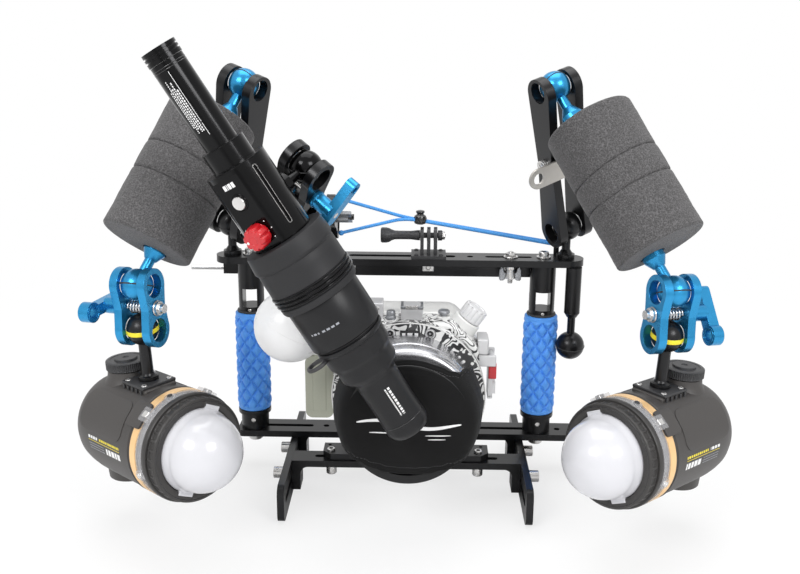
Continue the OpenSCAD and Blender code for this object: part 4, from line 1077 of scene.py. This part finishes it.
def side_clamps():
    for t, s in SIDES:
        # bolt head, nut and bracket of the long clamp
        body = "long_clamp_" + t
        mid = long_place(s).up((LONG_TOP - BASE).length / 2)
        paint(body, BRACKET, mid, lambda x, y, z: x > 7 and abs(z) < 10 and (
            y > 9.4 or (7.4 < x < 9.6 and abs(y) < 14 and abs(z) < 9.2)))
        paint(body, STEEL, mid, lambda x, y, z: (
            hypot(y, z) < 6.2 and (abs(x) > 17.4 or abs(x) < 9.4) and y < 9))
        q = mid.along_x()
        cross = q.up(21)
        lathe("long_head_" + t, cross, [(0.01, 0.9), (2.2, 0.85), (4.4, 0.5), (5.6, -0.3), (6.02, -1.2),
                                        (6.05, -3.4)], STEEL, body, seg=48)
        # dark cross on the head: painted shade of its cross recess
        for k in (0, 1):
            block("long_cross%d_%s" % (k, t), cross.turn_z(90 * k + 20), (-3, -0.5, 0.2), (3, 0.5, 1.0), RECESS_SHADE,
                  body, bevel=0.15)
        nut("long_nut_" + t, q.flipped().up(17.5), 8.6, 4.9, body, hole=2.6, washer=0.8)
        # blue clamp: nut, washer, shoulder and wound spring on its bolt
        body = "blue_clamp_" + t
        pl = drop_place(s).up(-18)
        bolt_steel(body, pl, r=5.8)
        q = pl.along_x()
        lathe("blue_washer_" + t, q, [(2.6, 16), (5.8, 16.05), (6.3, 16.5), (5.8, 17), (2.6, 17)], STEEL, body,
              seg=48)
        nut("blue_nut_" + t, q.up(17), 7.6, 3.4, body)
        lathe("blue_end_" + t, q, [(0.01, 23), (1.7, 22.9), (2.4, 22.3), (2.4, 17)], STEEL, body, seg=32)
        lathe("blue_shoulder_" + t, q.flipped(), SHOULDER, STEEL, body, seg=48)
        turns, steps, spring_r, half = 6, 30, 4.5, 8.0
        pts = []
        for i in range(turns * steps + 1):
            u = i / (turns * steps)
            a = 2 * pi * turns * u
            pts.append(pl.at((-half + 2 * half * u, spring_r * cos(a), spring_r * sin(a))))
        tube("spring_" + t, pts, 0.8, STEEL, body, slot="steel", replaces=("clamp_spring_" + t,))
        # lever: hub, rims on the eye
        lever = "clamp_lever_" + t
        turned_pl = pl.turn_x(88 if s < 0 else 38)
        hub = turned_pl.along_x()
        lathe("hub_" + t, hub, [(6.5, -28.8), (6.6, -28), (6.6, -19.4), (7.1, -19), (7.1, -17.4), (6.6, -16.9),
                                (5.8, -16.4), (3.0, -16.4)], BLUE_ANO, lever)
        for k, x in enumerate((-38.0, -29.0)):
            ring("eye_rim%d_%s" % (k, t), turned_pl.up(-19).along_x(), 6.2, 0.35, BLUE_ANO, lever,
                 z=x, seg=64, side=8)
        lathe("lever_pin_" + t, hub, [(0.01, -38.5), (3.0, -38.4), (3.6, -37.9), (3.6, -37)], STEEL, lever,
              seg=32)
        # balls: rubber rings in their grooves, a yellow band on the strobe's
        top = drop_place(s)
        ball_ring("ball_band_" + t, top.turn_x(22), "float_arm_" + t, 12.62, 0.62)
        lathe("yellow_band_" + t, top.up(-36).turn_x(-6), [(12.55, -1.9), (12.88, -1.5), (12.98, 0),
                (12.88, 1.5), (12.55, 1.9)], YELLOW, "strobe_stem_" + t, seg=128)
        ball_ring("arm_band_" + t, arm_place(s).turn_x(30), "float_arm_" + t, tube_r=0.42)
        ball_ring("post_band_" + t, upright((MIDDLE.x + s * BASE.x, 0, BALL_Z)).turn_x(25), "rig")
        lathe("stem_foot_" + t, top.up(-77.5), [(8.0, 0.1), (8.1, 0.9), (7.9, 2.6), (7.3, 3.1),
                (5.6, 3.6), (4.8, 5.2)], BLACK_ANO, "strobe_stem_" + t, seg=64)


def flash_chain():
    """The two clamps between the top plate and the flash, and the rings of the rig's other balls."""
    pl = place(CHAIN_2, CHAIN_3 - CHAIN_2, CHAIN_NORMAL).shift((0, 0, (CHAIN_3 - CHAIN_2).length / 2))
    bolt_steel("flash_clamp", pl)
    bolt_steel("plate_clamp", place(CHAIN_0, CHAIN_1 - CHAIN_0, (1, 0, 0)).up(19))
    q = pl.along_x()
    nut("chain_nut", q.flipped().up(16), 7.6, 4, "flash_clamp", washer=0.7)
    lathe("chain_shoulder", q, SHOULDER, STEEL, "flash_clamp", seg=48)
    lever = pl.turn_x(-35)
    lathe("flash_hub", lever.along_x(), [(3.0, 16.4), (5.8, 16.4), (6.6, 16.9), (7.1, 17.4), (7.1, 19),
            (6.6, 19.4), (6.6, 29), (6.4, 29.9)], BLUE_ANO, "flash_lever")
    for k, x in enumerate((30.0, 38.0)):
        ring("flash_eye%d" % k, lever.up(24).along_x(), 3.4, 0.35, BLUE_ANO, "flash_lever", z=x,
             seg=48, side=8)
    for name, centre, tilt, body in (
            ("plate_ball", CHAIN_0, 25, "rig"), ("link_ball_a", CHAIN_1, -30, "flash_link"),
            ("link_ball_b", CHAIN_2, 30, "flash_link"), ("flash_ball", CHAIN_3, 12, "flash"),
            ("hang", (158.2, -10, 126), 8, "rig")):
        ball_ring(name + "_band", upright(centre).turn_x(tilt), body)


side_clamps()
flash_chain()

# ---------------------------------------------------------------- flash and snoot


def flash():
    # groove lines on the tube, rims of the cap, collar and body
    for name, r, t, mat, body, z, seg, side in (
            ("tube_line0", 12.45, 0.28, GLOSS_PLASTIC, "flash", 13.4, 96, 8),
            ("tube_line1", 12.45, 0.28, GLOSS_PLASTIC, "flash", 15.2, 96, 8),
            ("cap_rim", 12.6, 0.4, GLOSS_ANO, "flash_cap", 0.5, 96, 10),
            ("collar_rim", 16.1, 0.5, GLOSS_ANO, "flash", 77.0, 96, 10),
            ("body_rim", 22.7, 0.5, GLOSS_ANO, "flash", 93.0, 128, 10)):
        ring(name, FLASH, r, t, mat, body, z=z, seg=seg, side=side)
    # bright edge of the slot engraved down the side
    slot = [FLASH.turn_z(-40).at((22.98, y, z)) for y, z in rounded(-1.5, 1.5, 98, 145, 1.45)]
    tube("slot_edge", slot, 0.14, STEEL, "flash", seg=8, closed=True)
    # rows of dashes on the tube and body
    dashes("tube_print", FLASH, 12.56, ((1, 17, 66, 0.35, 80), (9, 30, 62, 0.9, 1.7), (16, 24, 62, 0.9, 1.7),
                                        (23, 28, 60, 0.9, 1.7), (30, 22, 62, 0.9, 1.7), (37, 30, 58, 0.9, 1.7)),
           WHITE_MARK, "flash")
    dashes("body_print", FLASH, 22.98, ((-60, 106, 136, 1.7, 2.4), (-66, 112, 132, 1.1, 1.6)), WHITE_MARK,
           "flash")
    # face: button in its ring, knob, scale dots
    b = FACE.up(115.4).along_x()
    lathe("button", b, [(0.01, 21.5), (2.6, 21.6), (4.2, 21.9), (4.7, 22), (5, 21.6), (5, 13)], STEEL,
          "flash_button", seg=64, slot="steel", replaces=("flash_button",))
    ring("button_ring", b, 6.3, 0.5, GLOSS_ANO, "flash", z=20.0, side=12)
    k0 = FACE.up(141.4).along_x()

    def lobes(a, r, z):
        if r > 6.8 and z > 20.6:
            return r - 1.5 * (0.5 + 0.5 * cos(radians(8 * a))) ** 5
        return r

    lathe("red_knob", k0, [(3, 11), (3, 20.35), (8.4, 20.35), (9, 20.9), (9, 22.4), (8.7, 27.6), (8.4, 29.6),
                           (7.6, 30.6), (6.2, 31), (3.4, 31), (3.1, 30.7), (0.01, 30.7)], RED, "flash_knob",
          seg=192, radial=lobes, slot="red_plastic", replaces=("flash_knob",))
    lathe("knob_dot", k0.shift((4.9, 0, 0)), [(0.01, 31.15), (0.9, 31.1), (1.1, 30.9)], WHITE_MARK,
          "flash_knob", seg=20)
    for k in range(7):
        x, y = polar(11.4, 150 + 35 * k)
        if abs(y) < 10.6:
            lathe("scale%d" % k, k0.shift((x, y, 20)), [(0.01, 0.12), (0.45, 0.1), (0.5, -0.1)], WHITE_MARK,
                  "flash", seg=12)
    for k, (y0, y1) in enumerate(((-5, -2.4), (-1.8, 0.6), (1.2, 1.9), (2.5, 5))):
        block("face_mark%d" % k, FACE, (19.9, y0, 100.2), (20.12, y1, 104.2), WHITE_MARK, "flash", bevel=0.05)
    # sleeve: soft lip, crease, ribbed band with bright edges
    z = 153.8
    prof = [(r, z + dz) for r, dz in (
            (19.85, 0), (29.2, 0), (30.4, 0.3), (30.9, 1.4), (31.4, 6), (32.0, 12.0), (32.0, 12.8), (31.5, 14),
            (30.8, 14.8), (30.6, 15.1), (30.8, 15.5), (31.0, 22), (31.2, 32.4), (31.4, 33.4), (30.2, 33.9),
            (30.2, 34.6), (32.0, 35.1), (32.1, 36.4), (30.3, 37), (30.3, 37.7), (31.9, 38.2), (32.0, 39.5),
            (30.2, 40.1), (30.2, 40.8), (31.8, 41.3), (31.8, 42.6), (30.0, 43.2), (30.0, 43.9), (31.2, 44.6),
            (31.0, 48), (30.2, 49.6), (28.4, 50), (0.01, 50), (0.01, 16), (19.85, 16))]

    def soft(a, r, z):
        return r if r < 25 else r + 0.12 * noise.noise(Vector((*polar(2, a), z / 18)))

    lathe("sleeve", FLASH, prof, SLEEVE, "snoot", seg=160, radial=soft, slot="black_rubber",
          replaces=("snoot_sleeve",))
    for k, (r, dz) in enumerate(((32.1, 35.7), (32.0, 38.8), (31.85, 41.9))):
        ring("rib%d" % k, FLASH, r - 0.55, 0.85, GLOSS_ANO, "snoot", z=z + dz, seg=160, side=10)
    s0 = z + 50
    prof = [(0.01, s0), (28.2, s0), (28.5, s0 + 0.5), (28.55, 226), (28.5, 237.4), (28.1, 238.2), (25.0, 238.3),
            (25.0, 241.4), (26.8, 241.5), (27.2, 242.2), (27.1, 243.4), (26.7, 244.6), (26.0, 245.4),
            (25.6, 245.6), (25.5, 256.6), (25.1, 257.8), (23.8, 259.6), (23.2, 261.4), (23, 263), (23, 270.4),
            (22.6, 271.6), (20.4, 274.6), (18.0, 277.6), (17.1, 279.6), (16.9, 283), (16.6, 305), (17, 321),
            (17.2, 324), (17.2, 325.4), (16.6, 327), (15.3, 329.6), (14, 331), (12.7, 331), (12.4, 330.4),
            (12.3, 329), (0.01, 329)]
    lathe("barrel", FLASH, prof, BARREL, "snoot", seg=160, slot="gloss_black", replaces=("snoot_barrel",))
    # near-black ring in the barrel's joint groove: painted shade of the gap
    ring("joint", FLASH, 25.2, 0.9, HOOD, "snoot", z=239.8, seg=128, side=12)
    ring("tip_line", FLASH, 16.95, 0.3, GLOSS_PLASTIC, "snoot", z=318.5, seg=96, side=8)
    lathe("lens", FLASH, [(0.01, 330.2), (6, 330.0), (11.6, 329.3)], GLASS, "snoot", seg=64)
    dashes("barrel_print", FLASH, 16.98, ((-22, 287, 311, 1.9, 2.4), (-13, 287, 311, 1.0, 1.4)), WHITE_MARK,
           "snoot")
    row_r, count = 28.62, 22
    verts = [FLASH.at((*polar(row_r, -12 + 2.6 * j), dz)) for j in range(count) for dz in (221.4, 222.9)]
    faces = [f for j, f in enumerate(wrap_faces(count, 2, closed=False)) if j % 3 != 2 and j % 7 != 5]
    mesh("barrel_row", verts, faces, GREY_MARK, "snoot", smooth=False)
    # strap eyelet at the joint
    plate("eyelet", FLASH.turn_z(64), [circle2(31.5, 0, 8.8, 56), circle2(32.2, 0, 5.6, 40)], 244.6, 247.4,
          PLASTIC, "snoot", edge=0.8)


flash()

# ---------------------------------------------------------------- housing and port


SPLIT = -42
CASE_BACK = -5


def eased(pts, r, n=6):
    """Polygon with each corner rounded."""
    out = []
    for k, p in enumerate(pts):
        a, b, c = Vector(pts[k - 1]), Vector(p), Vector(pts[(k + 1) % len(pts)])
        ua, uc = (a - b).normalized(), (c - b).normalized()
        d = min(r, (a - b).length * 0.45, (c - b).length * 0.45)
        for i in range(n + 1):
            t = i / n
            out.append(tuple((b + ua * d) * (1 - t) ** 2 + b * 2 * t * (1 - t) + (b + uc * d) * t * t))
    return out


def housing():
    case = Place(RIG.o, RIG.x, RIG.z, -RIG.y)
    loop = eased([(-31, 43), (56, 43), (66.5, 58), (72.5, 74), (72.5, 143), (51, CASE_TOP), (-40, CASE_TOP),
                  (-52, 154), (-52, 74), (-45.6, 58)], 7)
    small = [(10 + (x - 10) * 0.975, 104 + (y - 104) * 0.975) for x, y in loop]
    plate("case_front", case, [loop], -SPLIT, 75, PRINTED, edge=3.0, slot="housing_white",
          replaces=("housing_front",))
    plate("case_back", case, [loop], -CASE_BACK, -SPLIT - 0.8, WHITE, edge=3.0, slot="housing_white",
          replaces=("housing_back",))
    plate("case_seal", case, [small], -SPLIT - 1.2, -SPLIT + 0.4, RUBBER, edge=0.3)
    block("case_foot", RIG, (-31, -73, 39.1), (56, -44, 43.5), WHITE, bevel=0.8)
    block("side_plate", RIG, (-70.4, -72.3, 83.4), (-57.6, -69, 128.6), SIDE_GREY, bevel=1.2)
    # bosses with recessed screws either side of a generic badge
    for k, x in enumerate((-3.2, 30.1)):
        q = case.shift((x, 160, 78))
        lathe("boss_rim%d" % k, q, [(4.6, -4), (4.7, 7.4), (4.3, 8.4), (3.8, 8.8), (3.2, 8.9), (2.9, 8.4),
                                    (2.9, 6.6), (0.01, 6.6)], SILVER, seg=48)
        # the screws sunk in the bosses take the dark recess colour: painted shade
        bolt("boss_screw%d" % k, q.up(6.6), 2.3, 1.2, 0.6, 1.2, mat=RECESS_SHADE)
    block("badge", RIG, (5.2, -88.1, 154.6), (21.8, -86.9, 163.4), GLOSS_PLASTIC, bevel=0.4)
    for k, (x0, x1, z0, z1) in enumerate(((6.8, 9.6, 156.6, 161.4), (11.2, 15.4, 156.6, 158.0),
                                          (11.2, 15.4, 160.0, 161.4), (17.2, 20.2, 156.6, 161.4))):
        block("badge_bar%d" % k, RIG, (x0, -88.3, z0), (x1, -87.9, z1), WHITE_MARK, bevel=0.1)
    # block left of the shoe, with its screw; small button beside it
    block("top_block", RIG, (-28.9, -62.3, 163), (-9.8, -44, 179), SILVER, bevel=1.0)
    bolt("block_screw", front_and_back(rig(-14.6, -62.3, 174.4)), 1.7, 0.5, 0.6, 1.0)
    pl = rig(-3.2, -60, CASE_TOP)
    lathe("side_button", pl, [(4.4, -0.6), (4.4, 2.2), (4.0, 2.6), (3.7, 3.0), (3.7, 6.6), (3.3, 7.2),
                              (0.01, 7.3)], GREY_METAL, seg=64,
          radial=lambda a, r, z: r - (0.3 if 3.2 < z < 6.4 and (a / 12) % 1 < 0.4 else 0))
    # shoe rails
    for k, (x0, x1) in enumerate(((5.0, 9.4), (19.6, 24.4))):
        block("shoe_rail%d" % k, RIG, (x0, -62.6, 174.6), (x1, -46, 176.4), GREY_METAL, bevel=0.3)
    block("shoe_stop", RIG, (9.4, -63.2, 174.2), (19.6, -62.2, 177.2), STEEL, bevel=0.2)
    # shutter button in its collar, which clears it when it is pressed
    pl = rig(42, -56, CASE_TOP)
    lathe("shutter_cap", pl, [(2.5, 2.04), (2.5, 4.1), (4.6, 4.15), (5, 4.6), (5, 6.2), (4.4, 6.9), (2.4, 6.7),
                              (0.01, 6.6)], GREY_METAL, "shutter_button", seg=64, slot="black_plastic",
          replaces=("shutter_button",))
    lathe("shutter_collar", pl, [(2.7, 0.1), (2.7, 2.0), (5.2, 2.0), (5.8, 1.4), (6, 0)], WHITE, seg=64)
    # latch: light frame and red slide, ribbed hinge cover above
    latch = rig(83.5, -58, 131)
    paint("latch", SILVER, latch, lambda x, y, z: True)
    block("latch_slide", latch, (-2.6, -9.8, -17), (4.2, 5.2, -3), RED, "latch", bevel=0.8)
    for k, y in enumerate((-70, -48.7)):
        block("latch_ear%d" % k, RIG, (70.5, y, 126), (87, y + 2.7, 136), SILVER, bevel=0.8)
    block("latch_cover", RIG, (71, -69.5, 136.5), (80, -46.5, 150), SILVER, bevel=1.2)
    for k in range(6):
        block("latch_rib%d" % k, RIG, (79.6, -68, 137.6 + 2 * k), (80.6, -48, 138.6 + 2 * k), SILVER,
              bevel=0.3)
    lathe("latch_pin", rig(83.5, -69.4, 131).along_y(), [(0.01, 0), (1.5, 0.1), (1.5, 22.6),
            (0.01, 22.7)], STEEL, seg=28)
    for k, (lo, hi) in enumerate((((-2.9, -8.8, -34), (1.2, -7.2, 0)), ((-2.9, 7.2, -34), (1.2, 8.8, 0)),
                                  ((-2.9, -8.8, -35.4), (1.2, 8.8, -32.4)))):
        block("latch_frame%d" % k, latch, lo, hi, SILVER, "latch", bevel=0.5)
    # port: bright rim under the shroud, band, rim of the hood
    ring("shroud_edge", PORT, 64.6, 0.55, WHITE, z=87.0, seg=160, side=10)
    lathe("port_band", PORT, [(47.8, 127.4), (51.4, 127.4), (53.2, 126.6), (54.6, 124.4), (55.1, 121.6),
                              (55.1, 112), (54.4, 111.2), (54.4, 109.8), (55.1, 109), (55.1, 99.8)],
          PORT_METAL, seg=192)
    ring("hood_rim", PORT, 49.6, 0.6, GLOSS_PLASTIC, z=148.4, seg=160, side=10)
    bolt("side_screw", front_and_back(rig(-64, -72, 130)), 1.5, 0.4, 0.5, 0.9)
    # globe: seam and the collar of its peg
    g = Vector((-84.4, -96, 169))
    ring("globe_seam", upright(g).turn_y(28), 30.0, 0.22, GLOBE, seg=160, side=8)
    lathe("globe_collar", place(g, unit(Vector((-66, -62, 134)) - g), RIG.x), [(8.2, 28.9), (8.2, 30.6),
            (7.4, 31.4), (5.4, 32), (5.0, 34)], GLOBE, seg=64)


def knob():
    tilt = 35
    pl = Place((58, -54, 156), turn_about("Y", tilt, RIG.x), RIG.y, turn_about("Y", tilt, RIG.z))

    def ribs(a, r, z):
        if r > 9.8 and 10.4 < z < 21.4:
            return r - 1.5 * (0.5 + 0.5 * cos(radians(a * 12))) ** 3
        return r

    lathe("dial_base", pl, [(0.01, -14), (12, -14), (12, 8), (11.2, 9), (3.3, 9)], WHITE)
    lathe("dial", pl, [(3, 2), (3, 9.35), (9.6, 9.35), (10.3, 9.8), (10.5, 10.4), (10.5, 20.8), (10.2, 21.8),
                       (9.4, 22.25), (7.4, 22.3), (7.0, 21.7), (0.01, 21.7)], KNOB, "control_knob", seg=240,
          radial=ribs, slot="white_plastic", replaces=("control_knob",))


def cover_mark():
    """A wave line and short rows on the cap, a motif of its own."""
    def on(u, v):
        return cover_point(degrees(atan2(v, u)), max(0.05, hypot(u, v)), 0.16)

    n = 60
    for name, path, w0 in (
            ("cap_wave", lambda t: (-40 + 82 * t, 4 + 2.6 * sin(7 * t) - 3 * t), 1.6),
            ("cap_row_a", lambda t: (-30 + 17 * t, -4.5), 0.5),
            ("cap_row_b", lambda t: (14 + 20 * t, -6.5), 0.5),
            ("cap_row_c", lambda t: (16 + 14 * t, -9.8), 0.4)):
        verts = []
        for i in range(n + 1):
            u, v = path(i / n)
            w = w0 * (0.25 + 0.75 * sin(pi * i / n) ** 0.5)
            verts += [on(u, v - w), on(u, v + w)]
        mesh(name, verts, wrap_faces(n + 1, 2, closed=False), WHITE_MARK)


housing()
knob()
cover_mark()

# ---------------------------------------------------------------- camera, light, floor


def camera_axes(pitch, yaw, roll):
    """Rows: the picture's right, down and forward axes, from three fitted angles in degrees."""
    def spin(axis, deg):
        return Matrix.Rotation(radians(deg), 3, axis)

    level = Matrix(((1, 0, 0), (0, 0, -1), (0, 1, 0)))
    return spin("Z", roll) @ spin("X", pitch) @ level @ spin("Z", yaw)


def camera():
    r = camera_axes(15.859, -0.981, 0.465)
    eye = Vector((18.6, -892.4, 429.5))
    cam = bpy.data.objects.new("camera", bpy.data.cameras.new("camera"))
    bpy.context.scene.collection.objects.link(cam)
    m = Matrix((r[0], -r[1], -r[2])).transposed().to_4x4()
    m.translation = (eye - CENTRE) / 1000
    cam.matrix_world = m
    cam.data.lens = 46.05
    cam.data.sensor_width = 36
    cam.data.sensor_fit = "HORIZONTAL"
    cam.data.clip_start, cam.data.clip_end = 0.01, 50
    bpy.context.scene.camera = cam


def area(name, loc, target, size, power):
    la = bpy.data.lights.new(name, "AREA")
    la.shape = "RECTANGLE"
    la.size, la.size_y = size
    la.energy = power
    o = bpy.data.objects.new(name, la)
    o.location = loc
    o.rotation_euler = (Vector(target) - Vector(loc)).to_track_quat("-Z", "Y").to_euler()
    bpy.context.scene.collection.objects.link(o)


def stage():
    area("key_left", (-1.1, -1.5, 1.5), (0, 0, 0.2), (0.9, 0.7), 23)
    area("key_right", (1.2, -1.5, 1.4), (0, 0, 0.2), (0.9, 0.7), 23)
    area("top", (0, 0.3, 1.9), (0, 0, 0.1), (1.6, 1.4), 19)
    w = bpy.data.worlds.new("world")
    bpy.context.scene.world = w
    w.use_nodes = True
    nt = w.node_tree
    bg = nt.nodes["Background"]
    bg.inputs["Color"].default_value = (1, 1, 1, 1)
    lp = node(nt, "LightPath")
    direct, glossy, through = [lp.outputs["Is %s Ray" % k] for k in ("Camera", "Glossy", "Transmission")]
    seen = calc(nt, "MAXIMUM", calc(nt, "MAXIMUM", direct, glossy), through)
    nt.links.new(calc(nt, "MULTIPLY_ADD", seen, 0.5, 0.5), bg.inputs["Strength"])
    me = bpy.data.meshes.new("floor")
    half, below = 8, -0.0005
    corners = [(x, y, below) for x, y in ((-half, -half), (half, -half), (half, half), (-half, half))]
    me.from_pydata(corners, [], [(0, 1, 2, 3)])
    o = bpy.data.objects.new("floor", me)
    bpy.context.scene.collection.objects.link(o)
    m = bpy.data.materials.new("floor")
    m.use_nodes = True
    nt = m.node_tree
    b = nt.nodes["Principled BSDF"]
    b.inputs["Base Color"].default_value = (0.9, 0.9, 0.9, 1)
    b.inputs["Roughness"].default_value = 0.6
    em = node(nt, "Emission")
    mix = node(nt, "MixShader")
    lp = node(nt, "LightPath")
    far = node(nt, "VectorMath")
    far.operation = "LENGTH"
    nt.links.new(node(nt, "TexCoord").outputs["Object"], far.inputs[0])
    fade = node(nt, "MapRange")
    fade.interpolation_type = "SMOOTHSTEP"
    nt.links.new(far.outputs["Value"], fade.inputs["Value"])
    for socket, value in (("From Min", 0.35), ("From Max", 1.0), ("To Min", 0.72), ("To Max", 1.0)):
        fade.inputs[socket].default_value = value
    nt.links.new(calc(nt, "MULTIPLY", lp.outputs["Is Camera Ray"], fade.outputs["Result"]), mix.inputs[0])
    nt.links.new(b.outputs[0], mix.inputs[1])
    nt.links.new(em.outputs[0], mix.inputs[2])
    nt.links.new(mix.outputs[0], nt.nodes["Material Output"].inputs["Surface"])
    me.materials.append(m)


camera()
stage()
bpy.context.scene.view_settings.view_transform = "Standard"
